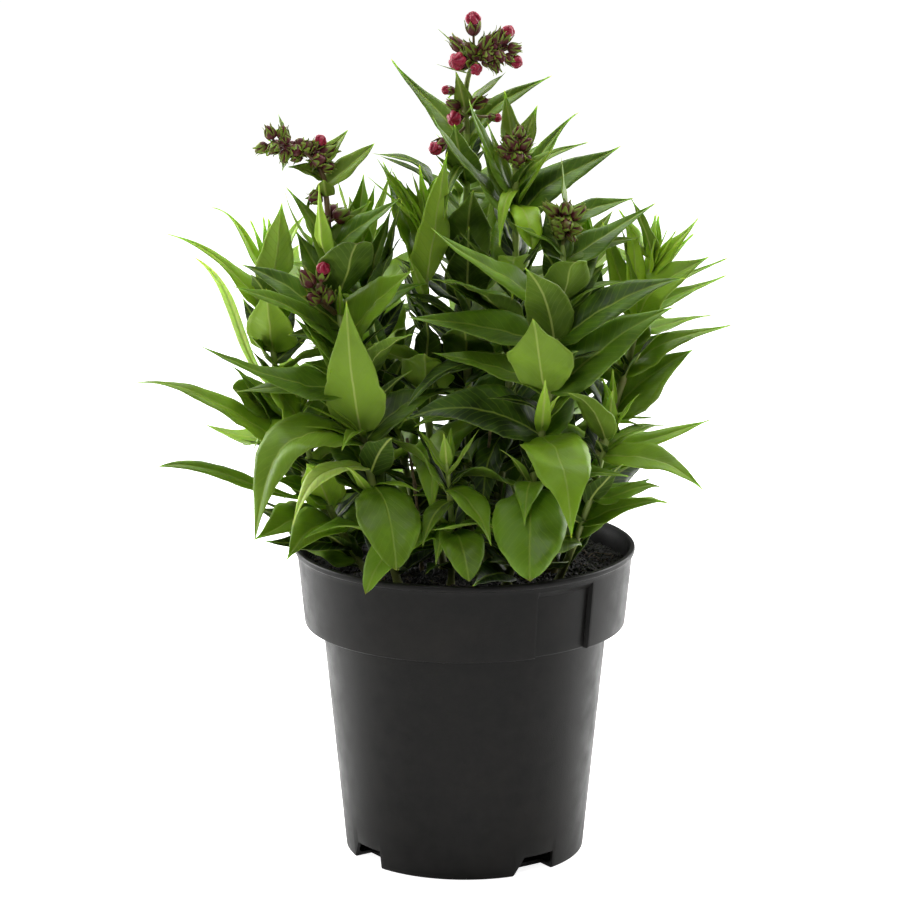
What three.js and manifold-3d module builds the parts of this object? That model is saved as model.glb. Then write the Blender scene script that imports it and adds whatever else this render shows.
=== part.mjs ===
import * as THREE from "three";
import { mergeVertices } from "three/addons/utils/BufferGeometryUtils.js";
import Module from "manifold-3d";

// A young beardtongue in bud, in a black 3 litre nursery pot. Millimetres, +Z up.
// The origin is on the flat underside of the pot, on its axis, and the front is towards -Y.
const wasm = await Module();
wasm.setup();

// Pot: one moulding with a straight taper, a ledge, a wide collar and a rolled rim
const pot = {
  height: 175,
  rimRadius: 95,
  collarTopRadius: 94,
  collarFootRadius: 89.7,
  ledgeHeight: 131,
  bodyTopRadius: 79.8,
  footRadius: 67,
  wall: 1.8,
  floor: 2.4,
  beadHeight: 3.4,
  beadWidth: 2.8,
  sides: 40,
};

// Label panel: a stretch of the collar set back below a narrow top band, at the front right.
// Its ends, its side walls (frame) and the turn that makes up a gap there are in degrees.
const panel = { from: 25, to: 48, depth: 3, topBand: 6, frame: 1.2, turnPerGap: 0.62 };

// Drain notches at the corner of wall and floor
const notch = { count: 4, first: 34.5, width: 27, slant: 7, height: 10.5, reach: 12 };

// Compost: its surface lies below the rim, and each stem stands in a plain hole
const soil = {
  top: 162,
  relief: 1.6,
  gap: 0.35,
  holeDepth: 14,
  holeGap: 0.8,
  holeSides: 6,
  rings: 3,
  sides: 22,
};

// Stems: foot and bow (x, y) and top (x, y, z), the radius at foot and top, and the turn of the
// first leaf pair in degrees, which the four faces of the stem follow
const stems = {
  left: { foot: [-36, -48], bow: [-60, -74], top: [-74, -24, 352], thick: [2.6, 1.9], turn: 38 },
  right: { foot: [22, -48], bow: [46, -78], top: [53, -40, 350], thick: [2.7, 1.9], turn: 62 },
  centre: { foot: [4, 14], bow: [0, 8], top: [1, 8, 404], thick: [2.7, 1.9], turn: 10 },
  rose: { foot: [12, -6], bow: [30, -26], top: [27, -22, 389], thick: [2.6, 1.8], turn: 50 },
  farRight: { foot: [48, -14], bow: [84, -38], top: [104, -4, 342], thick: [2.8, 1.5], turn: 25 },
  farLeft: { foot: [-58, -4], bow: [-118, -10], top: [-104, -2, 338], thick: [2.6, 1.5], turn: 70 },
  midLeft: { foot: [-22, 18], bow: [-42, 28], top: [-62, 26, 345], thick: [2.5, 1.4], turn: 15 },
  inner: { foot: [-12, -6], bow: [-26, -4], top: [-20, -2, 366], thick: [2.5, 1.5], turn: 80 },
  lowLeft: { foot: [-52, -28], bow: [-82, -50], top: [-92, -32, 262], thick: [2.4, 1.4], turn: 40 },
  lowRight: { foot: [50, -40], bow: [68, -58], top: [78, -48, 252], thick: [2.4, 1.4], turn: 55 },
  lowFront: { foot: [-8, -46], bow: [-6, -64], top: [-10, -66, 236], thick: [2.2, 1.3], turn: 30 },
  backLeft: { foot: [-40, 40], bow: [-62, 66], top: [-66, 68, 330], thick: [2.5, 1.4], turn: 65 },
  back: { foot: [6, 48], bow: [12, 72], top: [8, 62, 362], thick: [2.6, 1.5], turn: 20 },
  backRight: { foot: [44, 36], bow: [70, 62], top: [68, 52, 336], thick: [2.5, 1.4], turn: 48 },
};
const stemSides = 4;
const stemSteps = 6;

// Old bare stems between the leafy ones
const dryStems = [
  { foot: [-24, -16], bow: [-25, -19], top: [-32, -22, 240], radius: 1.1 },
  { foot: [2, -24], bow: [11, -29], top: [14, -34, 252], radius: 1.2 },
];

// Leaves that give the plant its outline from the front. Each grows from its stem at height z to
// its tip. wide is its full width, rise and fall bend it up near the root and near the tip as
// parts of its length, face turns its upper side to the front in degrees and fold lifts its
// edges. round gives a broad leaf with a short point.
const frontLeaves = {
  left: [
    { z: 222, tip: [-37, -102, 186], wide: 38, rise: 0.26, fall: 0.26, fold: 0.1 },
    { z: 250, tip: [-63, -87, 329], wide: 33, rise: -0.1, fall: -0.06, fold: 0.12 },
    { z: 244, tip: [-112, -98, 198], wide: 34, rise: 0.3, fall: 0.4, fold: 0.16, face: 20 },
    { z: 274, tip: [-141, -75, 304], wide: 24, rise: 0.12, fall: -0.04, face: 28 },
    { z: 306, tip: [-120, -42, 344], wide: 28, rise: 0.08, fall: 0.04, face: 38 },
    { z: 298, tip: [-28, -60, 341], wide: 34, rise: 0.06, fall: 0.04, face: 48 },
    { z: 290, tip: [-123, -84, 331], wide: 26, rise: 0.12, fall: 0.12, face: 30 },
    { z: 322, tip: [-57, -75, 357], wide: 30, rise: -0.1, fall: 0.1, fold: 0.4, round: true },
    { z: 342, tip: [-80, -58, 388], wide: 20, rise: -0.2, fall: 0.1, fold: 0.4, face: 30 },
    { z: 344, tip: [-35, -40, 376], wide: 18, rise: 0.05, fall: 0, face: 40 },
    { z: 196, tip: [-98, -16, 182], wide: 24, rise: 0.08, fall: 0.04, face: 20 },
  ],
  right: [
    { z: 222, tip: [34, -105, 181], wide: 41, rise: 0.24, fall: 0.26, fold: 0.06, round: true },
    { z: 224, tip: [31, -97, 209], wide: 17, rise: 0.3, fall: 0.3, fold: 0.15 },
    { z: 250, tip: [56, -110, 205], wide: 37, rise: 0.34, fall: 0.34, fold: 0.06 },
    { z: 250, tip: [-33, -75, 262], wide: 32, rise: 0.16, fall: 0.2, face: 44 },
    { z: 274, tip: [35, -97, 321], wide: 36, rise: -0.2, fall: 0.02, fold: 0.12, round: true },
    { z: 274, tip: [113, -52, 319], wide: 30, rise: 0.02, fall: 0.1, face: 42 },
    { z: 298, tip: [-32, -70, 317], wide: 24, rise: 0.06, fall: 0.02, face: 34 },
    { z: 300, tip: [118, -60, 336], wide: 25, rise: 0.06, fall: 0.12, face: 40 },
    { z: 313, tip: [-19, -75, 366], wide: 22, rise: 0.06, fall: -0.04, face: 30 },
    { z: 320, tip: [58, -72, 347], wide: 28, rise: -0.1, fall: 0.2, fold: 0.3, round: true },
    { z: 328, tip: [103, -28, 373], wide: 22, rise: 0.08, fall: -0.04, face: 36 },
    { z: 345, tip: [24, -56, 366], wide: 12, rise: 0.1, fall: 0, face: 20 },
    { z: 340, tip: [91, -12, 378], wide: 15, rise: 0.1, fall: 0.08, face: 24 },
  ],
  centre: [
    { z: 286, tip: [-34, -24, 316], wide: 30, rise: 0.08, fall: 0.06, face: 30 },
    { z: 262, tip: [40, -14, 300], wide: 30, rise: 0.06, fall: 0.06, face: 30 },
    { z: 392, tip: [-42, 40, 444], wide: 20, rise: 0.06, fall: 0.04, face: 34 },
    { z: 396, tip: [48, 22, 438], wide: 17, rise: 0.06, fall: -0.04, face: 34 },
    { z: 372, tip: [64, 24, 418], wide: 19, rise: 0.1, fall: -0.06, face: 36 },
    { z: 376, tip: [-6, -26, 414], wide: 20, rise: 0, fall: 0, face: 10, fold: 0.3 },
  ],
  rose: [
    { z: 352, tip: [-18, -42, 421], wide: 24, rise: 0.06, fall: -0.06, face: 26 },
    { z: 364, tip: [2, -27, 428], wide: 20, rise: 0.06, fall: -0.06, face: 30 },
    { z: 356, tip: [86, -8, 402], wide: 27, rise: 0.04, fall: -0.05, face: 40 },
    { z: 366, tip: [51, -34, 412], wide: 22, rise: 0, fall: 0.04, face: 24 },
  ],
  farRight: [
    { z: 240, tip: [70, -47, 265], wide: 24, rise: 0, fall: 0, face: 20 },
    { z: 236, tip: [137, 0, 247], wide: 20, rise: 0, fall: -0.04, face: 30 },
    { z: 252, tip: [126, -10, 290], wide: 33, rise: 0.1, fall: 0.12, face: 46 },
    { z: 274, tip: [147, 0, 299], wide: 24, rise: 0.1, fall: 0.02, face: 34 },
    { z: 298, tip: [138, 20, 304], wide: 16, rise: 0.2, fall: 0.02, face: 20 },
    { z: 298, tip: [133, -22, 342], wide: 29, rise: 0.04, fall: 0.06, face: 44 },
    { z: 308, tip: [146, 12, 326], wide: 14, rise: 0.16, fall: 0, face: 16 },
    { z: 282, tip: [82, -16, 365], wide: 24, rise: 0, fall: 0, face: 24 },
    { z: 326, tip: [127, -10, 361], wide: 14, rise: 0.06, fall: -0.04, face: 30 },
    { z: 328, tip: [104, -8, 364], wide: 12, rise: 0, fall: 0 },
  ],
  farLeft: [
    { z: 320, tip: [-99, -22, 371], wide: 25, rise: -0.06, fall: 0.02, face: 10 },
    { z: 284, tip: [-102, -47, 328], wide: 30, rise: -0.06, fall: 0, face: 10 },
    { z: 302, tip: [-163, -20, 353], wide: 22, rise: 0.18, fall: 0.1, face: 36 },
    { z: 328, tip: [-139, 8, 363], wide: 12, rise: 0.16, fall: 0.06, face: 20 },
    { z: 262, tip: [-148, 8, 342], wide: 15, rise: 0.12, fall: 0.08, face: -24 },
    { z: 234, tip: [-128, -34, 284], wide: 30, rise: 0.1, fall: 0.06, face: 30 },
  ],
  lowLeft: [
    { z: 238, tip: [-180, -50, 279], wide: 25, rise: 0.22, fall: 0.02, face: 22 },
    { z: 210, tip: [-166, -50, 230], wide: 21, rise: 0.08, fall: 0, face: 30 },
    { z: 204, tip: [-86, -80, 236], wide: 33, rise: 0.06, fall: 0.1, face: -30 },
    { z: 194, tip: [-96, -88, 196], wide: 27, rise: 0.24, fall: 0.16, face: 20 },
    { z: 252, tip: [-102, -50, 286], wide: 25, rise: -0.04, fall: 0.04, fold: 0.35 },
  ],
  lowRight: [
    { z: 236, tip: [128, -72, 222], wide: 26, rise: 0.26, fall: 0.28, face: 34 },
    { z: 214, tip: [110, -38, 219], wide: 21, rise: 0.14, fall: 0.2, face: 30 },
    { z: 198, tip: [110, -62, 216], wide: 21, rise: 0.04, fall: 0.16, face: 34 },
  ],
  inner: [
    { z: 330, tip: [-45, -2, 391], wide: 24, rise: -0.04, fall: 0, face: 30 },
    { z: 262, tip: [-22, -44, 292], wide: 30, rise: 0.06, fall: 0.06, face: 10 },
    { z: 322, tip: [-10, -40, 404], wide: 31, rise: -0.04, fall: 0, face: 20 },
    { z: 350, tip: [-52, -8, 394], wide: 18, rise: 0.24, fall: 0.2, face: 20 },
    { z: 236, tip: [-18, -52, 200], wide: 22, rise: 0.3, fall: 0.3, face: 30 },
  ],
  midLeft: [
    { z: 318, tip: [-98, -8, 378], wide: 22, rise: 0.04, fall: 0, face: 30 },
    { z: 322, tip: [-42, 4, 388], wide: 24, rise: 0, fall: 0, face: 36 },
    { z: 330, tip: [-66, 10, 384], wide: 20, rise: 0, fall: 0, face: 30 },
  ],
  lowFront: [
    { z: 196, tip: [2, -101, 180], wide: 24, rise: 0.3, fall: 0.2, round: true },
    { z: 192, tip: [-48, -104, 172], wide: 18, rise: 0.34, fall: 0.34 },
    { z: 222, tip: [14, -90, 196], wide: 20, rise: 0.2, fall: 0.2 },
  ],
};

// The other leaves stand in opposite pairs, each pair a quarter turn on from the last
const pairs = {
  first: 190,
  step: 27,
  low: { length: 70, slope: 6, width: 0.4 },
  middle: { length: 80, slope: 28, width: 0.38 },
  high: { length: 50, slope: 56, width: 0.36 },
  turnSpread: 15,
  slopeSpread: 9,
  lengthSpread: 0.14,
  rollSpread: 30,
  clearHeight: 13,
  clearTurn: 52,
  clearTop: 6,
  shortest: 24,
  shorter: 4,
  narrowest: 9,
};
const tuft = { length: 24, width: 0.34, slope: 68, splay: 12, count: 2, drop: 5, tries: 11 };
const axil = { length: 24, width: 0.34, slope: 50, lift: 3, odds: 0.14, spread: 50, tries: 9 };

// Outline of the bush: how far from its middle a pair's leaf may reach at each height
const bushMiddle = -10;
const outline = [
  [165, 112],
  [215, 138],
  [290, 146],
  [340, 122],
  [380, 76],
  [415, 44],
  [470, 10],
];

// Tries for a leaf that would cross something: turn and slope in degrees, part of its length
const tries = [
  [0, 0, 1],
  [7, 0, 1],
  [-7, 0, 1],
  [0, 8, 1],
  [0, -8, 1],
  [14, 6, 0.96],
  [-14, 6, 0.96],
  [14, -8, 0.94],
  [-14, -8, 0.94],
  [24, 0, 0.9],
  [-24, 0, 0.9],
  [0, 18, 0.9],
  [24, 16, 0.84],
  [-24, 16, 0.84],
  [36, 6, 0.78],
  [-36, 6, 0.78],
  [0, 30, 0.72],
  [20, -16, 0.7],
  [-20, -16, 0.7],
  [48, 12, 0.62],
  [-48, 12, 0.62],
  [0, 10, 0.52],
];
const frontTries = 15;

// Edges shorter than this are closed up after joining
const sliver = 0.3;

// Blades: thickness at the midrib, clear space kept round each, and the cross sections
const blade = {
  thick: 1.5,
  thin: 0.9,
  sunk: 0.25,
  clear: 0.45,
  sections: [0.14, 0.32, 0.55, 0.78],
  pairSections: [0.18, 0.45, 0.75],
  smallSections: [0.3, 0.65],
  small: 15,
};

// Flower heads: the brown stalk's course and its buds, each from the stalk's part to its tip.
// open marks a bud whose crimson petals already stand out of its cup.
const heads = {
  centre: {
    stem: "centre",
    course: [[1, 8, 404.35], [0, 6, 424], [3, 3, 440], [9, 0, 448], [20, 0, 451]],
    buds: [
      { from: 0.6, tip: [4, -2, 472], radius: 4.6, open: true },
      { from: 0.56, tip: [-7, -14, 447], radius: 5.2, open: true },
      { from: 0.95, tip: [25, 0, 464], radius: 3.8, open: true },
      { from: 0.9, tip: [31, -3, 443], radius: 3.8, open: true },
      { from: 0.6, tip: [6, -15, 441], radius: 3.4, open: true },
      { from: 0.6, tip: [-9, 3, 458], radius: 3.6 },
      { from: 0.66, tip: [0, -7, 456], radius: 3.8 },
      { from: 0.74, tip: [13, -6, 460], radius: 4.2 },
      { from: 0.86, tip: [20, -3, 463], radius: 4 },
      { from: 1, tip: [31, 0, 452], radius: 3.4 },
      { from: 0.8, tip: [14, -12, 447], radius: 3.6 },
      { from: 0.9, tip: [21, -11, 446], radius: 3.6 },
      { from: 0.72, tip: [10, 10, 452], radius: 4 },
      { from: 0.62, tip: [-3, 11, 448], radius: 4 },
      { from: 0.84, tip: [18, -3, 438], radius: 3.4 },
      { from: 0.3, tip: [-13, 1, 429], radius: 2.7, open: true },
      { from: 0.12, tip: [-8, -7, 414], radius: 4.4, open: true },
      { from: 0.05, tip: [-19, -8, 396], radius: 4.2, open: true },
      { from: 0.14, tip: [20, 2, 413], radius: 2.6, open: true },
      { from: 0.18, tip: [13, -1, 424], radius: 3.8 },
      { from: 0.16, tip: [-11, 6, 422], radius: 3.4 },
    ],
    bracts: [
      { from: 0.42, tip: [27, -10, 441], wide: 9, rise: 0, fall: 0.1, face: 20 },
      { from: 0.56, tip: [-16, 0, 463], wide: 7, rise: 0.2, fall: 0.1 },
      { from: 0.2, tip: [-4, 0, 436], wide: 7, rise: 0.1, fall: 0 },
    ],
  },
  left: {
    stem: "left",
    course: [[-74, -24, 352.35], [-75, -23, 372], [-78, -22, 388], [-88, -20, 399], [-104, -20, 403]],
    buds: [
      { from: 1, tip: [-114, -21, 398], radius: 3.4 },
      { from: 0.98, tip: [-107, -23, 413], radius: 3.6 },
      { from: 0.92, tip: [-98, -22, 413], radius: 3.6 },
      { from: 0.95, tip: [-105, -30, 399], radius: 3.4 },
      { from: 0.9, tip: [-98, -24, 392], radius: 3.2 },
      { from: 0.95, tip: [-103, -11, 399], radius: 3.4 },
      { from: 0.82, tip: [-90, -29, 398], radius: 3.8 },
      { from: 0.8, tip: [-88, -12, 402], radius: 3.8 },
      { from: 0.74, tip: [-83, -28, 404], radius: 3.8 },
      { from: 0.68, tip: [-76, -22, 407], radius: 3.8, open: true },
      { from: 0.62, tip: [-68, -20, 401], radius: 4.2 },
      { from: 0.6, tip: [-76, -32, 396], radius: 4 },
      { from: 0.55, tip: [-70, -26, 391], radius: 3.8 },
      { from: 0.6, tip: [-80, -12, 396], radius: 3.8 },
      { from: 0.3, tip: [-85, -28, 373], radius: 4.4 },
      { from: 0.12, tip: [-78, -33, 362], radius: 4 },
      { from: 0.1, tip: [-62, -21, 366], radius: 4.8 },
      { from: 0.14, tip: [-70, -12, 366], radius: 4.2 },
    ],
    bracts: [
      { from: 0.36, tip: [-49, -20, 403], wide: 24, rise: -0.04, fall: -0.02, face: 55, fold: 0.1 },
      { from: 0.6, tip: [-63, -18, 410], wide: 9, rise: 0, fall: 0, face: 10 },
      { from: 0.42, tip: [-96, -26, 391], wide: 11, rise: 0.1, fall: 0.1, face: 30 },
      { from: 0.9, tip: [-100, -19, 423], wide: 6, rise: 0, fall: 0 },
      { from: 0.28, tip: [-76, -40, 386], wide: 11, rise: -0.1, fall: 0.1, fold: 0.3 },
    ],
  },
  rose: {
    stem: "rose",
    course: [[27, -22, 389.35], [27, -21, 398], [28, -20, 405]],
    buds: [
      { from: 0.3, tip: [17, -24, 402], radius: 4 },
      { from: 0.6, tip: [21, -28, 408], radius: 3.8 },
      { from: 0.9, tip: [30, -22, 413], radius: 3.8 },
      { from: 0.5, tip: [36, -24, 406], radius: 4 },
      { from: 0.3, tip: [36, -22, 395], radius: 4 },
      { from: 0.3, tip: [30, -32, 396], radius: 4.2 },
      { from: 0.4, tip: [24, -11, 404], radius: 4 },
      { from: 0.4, tip: [34, -11, 401], radius: 4 },
    ],
    bracts: [
      { from: 0.6, tip: [22, -16, 427], wide: 8, rise: 0, fall: 0 },
      { from: 0.6, tip: [40, -19, 421], wide: 9, rise: -0.06, fall: 0 },
    ],
  },
  right: {
    stem: "right",
    course: [[53, -40, 350.35], [53, -40, 360], [54, -40, 368]],
    buds: [
      { from: 0.7, tip: [41, -42, 374], radius: 3.8 },
      { from: 0.5, tip: [46, -49, 365], radius: 3.8 },
      { from: 0.9, tip: [54, -47, 375], radius: 3.8 },
      { from: 0.6, tip: [54, -52, 364], radius: 4 },
      { from: 0.7, tip: [65, -41, 372], radius: 3.8 },
      { from: 0.5, tip: [63, -45, 360], radius: 3.8 },
      { from: 0.6, tip: [50, -30, 370], radius: 4 },
      { from: 0.6, tip: [60, -31, 368], radius: 4 },
    ],
    bracts: [{ from: 0.8, tip: [51, -40, 399], wide: 11, rise: 0, fall: 0, face: 10 }],
  },
  side: {
    stem: "left",
    course: [[-70.4, -43.2, 314], [-77, -52, 322], [-79, -57, 332]],
    buds: [
      { from: 0.6, tip: [-88, -60, 341], radius: 4.2 },
      { from: 0.8, tip: [-75, -63, 345], radius: 4, open: true },
      { from: 0.3, tip: [-72, -62, 330], radius: 3.8 },
      { from: 0.4, tip: [-84, -66, 328], radius: 3.8 },
    ],
    bracts: [],
  },
};
const stalk = { radius: 1.8, tipRadius: 1.1, sides: 5, steps: 5 };
const bud = { sides: 4, openSides: 6, pedicel: 0.9, long: 3, cup: 0.5, gap: 0.35 };

const colours = {
  pot: 0x323230,
  soil: 0x1b1613,
  leaf: [0x4a7a28, 0x5d8f2f, 0x3f6d2c, 0x6b9a35],
  head: 0x4a2b32,
  crimson: 0xb02a4c,
  dry: 0x6b5a3c,
};

const rad = THREE.MathUtils.degToRad;
const up = new THREE.Vector3(0, 0, 1);
const vec = (list) => new THREE.Vector3(...list);

// Park and Miller's generator: the same draws on every run
function drawsFrom(seed) {
  let state = seed;
  return () => {
    state = (state * 16807) % 2147483647;
    return state / 2147483647;
  };
}

// Turn a three.js geometry into a solid with its faces outward, and back
function toSolid(geometry) {
  const plain = geometry.clone();
  plain.deleteAttribute("normal");
  plain.deleteAttribute("uv");
  const merged = mergeVertices(plain, 1e-4);
  const index = Array.from(merged.index.array);
  const corners = [];
  for (let i = 0; i < index.length; i += 3) {
    const [a, b, c] = index.slice(i, i + 3);
    if (a !== b && b !== c && c !== a) corners.push(a, b, c);
  }
  const vertProperties = Float32Array.from(merged.attributes.position.array);
  const solidOf = (list) =>
    new wasm.Manifold(new wasm.Mesh({ numProp: 3, vertProperties, triVerts: Uint32Array.from(list) }));
  const solid = solidOf(corners);
  return solid.volume() > 0 ? solid : solidOf(corners.reverse());
}

function toGeometry(solid) {
  const mesh = solid.getMesh();
  const geometry = new THREE.BufferGeometry();
  geometry.setAttribute("position", new THREE.BufferAttribute(mesh.vertProperties, 3));
  geometry.setIndex(new THREE.BufferAttribute(mesh.triVerts, 1));
  geometry.computeVertexNormals();
  return geometry;
}

// Keep the one main body of a solid, without scraps or sealed hollows
function mainBody(solid) {
  const bodies = solid.decompose();
  return bodies.reduce((best, body) => (body.volume() > best.volume() ? body : best));
}

// Closed skin over rings of equal count. A root and a tip close the ends in points, and an end
// without one is flat. Folded rings have four points, split alike above and below.
function skin(rings, { root, tip, folded } = {}) {
  const count = rings[0].length;
  const points = rings.flat();
  const corners = [];
  const at = (ring, k) => ring * count + (k % count);
  if (root) {
    points.push(root);
    for (let k = 0; k < count; k++) corners.push(at(0, k + 1), at(0, k), points.length - 1);
  } else {
    for (let k = 0; k < count - 2; k++) corners.push(count - 1, k + 1, k);
  }
  for (let ring = 0; ring < rings.length - 1; ring++) {
    for (let k = 0; k < count; k++) {
      const [a, b] = [at(ring, k), at(ring, k + 1)];
      const [d, c] = [at(ring + 1, k), at(ring + 1, k + 1)];
      if (folded && k % 2 === 1) corners.push(a, b, d, b, c, d);
      else corners.push(a, b, c, a, c, d);
    }
  }
  const last = rings.length - 1;
  if (tip) {
    points.push(tip);
    for (let k = 0; k < count; k++) corners.push(at(last, k), at(last, k + 1), points.length - 1);
  } else {
    for (let k = 0; k < count - 2; k++) {
      corners.push(at(last, count - 1), at(last, k), at(last, k + 1));
    }
  }
  const geometry = new THREE.BufferGeometry();
  const flat = points.flatMap((point) => point.toArray());
  geometry.setAttribute("position", new THREE.Float32BufferAttribute(flat, 3));
  geometry.setIndex(corners);
  return toSolid(geometry);
}

// Ring of points round a centre, square to a direction
function ringAround(centre, direction, radius, count) {
  const guide = Math.abs(direction.y) < 0.8 ? new THREE.Vector3(0, 1, 0) : up;
  const across = new THREE.Vector3().crossVectors(guide, direction).normalize();
  const over = new THREE.Vector3().crossVectors(direction, across).normalize();
  return Array.from({ length: count }, (_, k) => {
    const angle = (2 * Math.PI * k) / count;
    return centre
      .clone()
      .addScaledVector(across, radius * Math.cos(angle))
      .addScaledVector(over, -radius * Math.sin(angle));
  });
}

// Where a leaf grows: its root point lies past the middle of the stem, away from the leaf
function rootOn(stem, z, turn) {
  const t = (z - soil.top) / (stem.top[2] - soil.top);
  const sunk = -blade.sunk * THREE.MathUtils.lerp(stem.thick[0], stem.thick[1], t);
  return stemAt(stem, z).add(vec([sunk * Math.cos(rad(turn)), sunk * Math.sin(rad(turn)), 0]));
}

// Centre line of a stem: a bow between foot and top, linear in height
function stemAt(stem, z) {
  const t = (z - soil.top) / (stem.top[2] - soil.top);
  const along = (i) => (1 - t) ** 2 * stem.foot[i] + 2 * t * (1 - t) * stem.bow[i] + t * t * stem.top[i];
  return new THREE.Vector3(along(0), along(1), z);
}

function stemSolid(stem) {
  const level = (centre, radius) =>
    Array.from({ length: stemSides }, (_, k) => {
      const angle = (2 * Math.PI * (k + 0.5)) / stemSides + rad(stem.turn);
      return centre.clone().add(vec([radius * Math.cos(angle), radius * Math.sin(angle), 0]));
    });
  const buried = new THREE.Vector3(stem.foot[0], stem.foot[1], soil.top - soil.holeDepth + soil.gap);
  const rings = [level(buried, stem.thick[0])];
  const start = soil.top + soil.relief + 1;
  for (let i = 0; i <= stemSteps; i++) {
    const t = i / stemSteps;
    const z = start + (stem.top[2] - start) * t;
    const centre = i === 0 ? new THREE.Vector3(stem.foot[0], stem.foot[1], z) : stemAt(stem, z);
    rings.push(level(centre, THREE.MathUtils.lerp(stem.thick[0], stem.thick[1], t)));
  }
  return skin(rings);
}

// Course and shape of one blade from its root to its tip
function bladeForm(root, tip, look) {
  const chord = tip.clone().sub(root);
  const length = chord.length();
  const out = new THREE.Vector3(chord.x, chord.y, 0).normalize();
  const along = chord.clone().normalize();
  const lift = up.clone().addScaledVector(along, -up.dot(along)).normalize();
  const bend = (part, amount) =>
    root.clone().addScaledVector(chord, part).addScaledVector(lift, amount * length);
  const curve = new THREE.CubicBezierCurve3(root, bend(1 / 3, look.rise), bend(2 / 3, look.fall), tip);
  const belly = look.round ? 0.8 : 0.62;
  const point = look.round ? 0.75 : 1.45;
  const peak = belly / (belly + point);
  const most = peak ** belly * (1 - peak) ** point;
  const roll = rad((look.face ?? 0) * (out.x < 0 ? -1 : 1));
  return {
    length,
    centre: (t) => curve.getPoint(t),
    half: (t) => ((look.wide / 2) * t ** belly * (1 - t) ** point) / most,
    frame: (t) => {
      const forward = curve.getTangent(t);
      const level = new THREE.Vector3().crossVectors(up, out);
      const over = new THREE.Vector3().crossVectors(forward, level);
      const side = level.clone().multiplyScalar(Math.cos(roll)).addScaledVector(over, Math.sin(roll));
      const face = over.clone().multiplyScalar(Math.cos(roll)).addScaledVector(level, -Math.sin(roll));
      return { side, face };
    },
    fold: look.fold ?? 0.2,
  };
}

// One blade: folded rings of left edge, top, right edge and underside between root and tip.
// A cut one leaves out the stretch next to the stem.
function bladeSolid(form, sections, grow = 0, cut = false) {
  const rings = sections.map((t) => {
    const { side, face } = form.frame(t);
    const centre = form.centre(t);
    const half = form.half(t) + grow;
    const thick = THREE.MathUtils.lerp(blade.thick, blade.thin, t) / 2 + grow;
    const edge = (sign) =>
      centre.clone().addScaledVector(side, sign * half).addScaledVector(face, half * form.fold);
    const rib = (sign) => centre.clone().addScaledVector(face, sign * thick);
    return [edge(1), rib(1), edge(-1), rib(-1)];
  });
  return skin(rings, { root: cut ? undefined : form.centre(0), tip: form.centre(1), folded: true });
}

// How much of the way from stalk to tip a bud's plump body takes
const bodyPart = (way, radius) => Math.min(0.75, (radius * bud.long) / way.length());

// A bud on its stalk: a thin foot, then a plump body that ends in a point or in an open cup
function budSolid(from, tip, radius, open, grow = 0) {
  const way = tip.clone().sub(from);
  const forward = way.clone().normalize();
  const at = (part) => from.clone().addScaledVector(way, part);
  const sides = open ? bud.openSides : bud.sides;
  const ring = (part, size) => ringAround(at(part), forward, size + grow, sides);
  const body = 1 - bodyPart(way, radius);
  const part = (t) => body + (1 - body) * t;
  if (open) {
    return skin([ring(0, bud.pedicel), ring(part(0), bud.pedicel), ring(part(bud.cup), radius * 0.9)]);
  }
  const rings = [ring(0, bud.pedicel), ring(part(0.35), radius), ring(part(0.75), radius * 0.72)];
  return skin(rings, { tip: at(1).addScaledVector(forward, grow) });
}

// Crimson petals, still closed, that stand out of a bud's cup
function petalSolid(from, tip, radius) {
  const way = tip.clone().sub(from);
  const forward = way.clone().normalize();
  const body = 1 - bodyPart(way, radius);
  const start = body + (1 - body) * bud.cup + bud.gap / way.length();
  const at = (t) => from.clone().addScaledVector(way, start + (1 - start) * t);
  const ring = (t, size) => ringAround(at(t), forward, size, bud.openSides);
  return skin([ring(0, radius * 0.86), ring(0.45, radius), ring(0.82, radius * 0.66)], { tip: at(1) });
}

// The solids placed so far, with their boxes to skip the pairs that are far apart
const boxOf = (solid) => {
  const box = solid.boundingBox();
  return new THREE.Box3(vec(Array.from(box.min)), vec(Array.from(box.max)));
};
const placed = [];

function place(node, solid, rest) {
  placed.push({ node, solid, rest: rest ?? solid, box: boxOf(solid) });
}

function crosses(node, whole, rest) {
  const box = boxOf(whole);
  return placed.some((other) => {
    if (!other.box.intersectsBox(box)) return false;
    if (other.node !== node) return !whole.intersect(other.solid).isEmpty();
    return other.rest !== other.solid && !rest.intersect(other.rest).isEmpty();
  });
}

// Reach of the bush at a height
function reachAt(z) {
  const above = Math.max(1, outline.findIndex(([height]) => height > z));
  const [[z0, r0], [z1, r1]] = [outline[above - 1], outline[above]];
  return r0 + ((r1 - r0) * (z - z0)) / (z1 - z0);
}

// Turn and stretch a leaf's chord for one of the tries
function bentTip(root, tip, [turn, slope, part]) {
  const chord = tip.clone().sub(root);
  const flat = Math.hypot(chord.x, chord.y);
  const azimuth = Math.atan2(chord.y, chord.x) + rad(turn);
  const rise = Math.atan2(chord.z, flat) + rad(slope);
  const length = chord.length() * part;
  const level = length * Math.cos(rise);
  const offset = [level * Math.cos(azimuth), level * Math.sin(azimuth), length * Math.sin(rise)];
  return root.clone().add(vec(offset));
}

// Place a blade where it crosses nothing, trying each bend in turn. It returns the tip used.
function growBlade(node, root, tip, look, sections, count) {
  for (const bend of tries.slice(0, count)) {
    const end = bentTip(root, tip, bend);
    const form = bladeForm(root, end, look);
    const whole = bladeSolid(form, sections, blade.clear);
    const rest = bladeSolid(form, sections, blade.clear, true);
    if (crosses(node, whole, rest)) continue;
    place(node, bladeSolid(form, sections), bladeSolid(form, sections, 0, true));
    return end;
  }
  return null;
}

const model = new THREE.Group();

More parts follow.
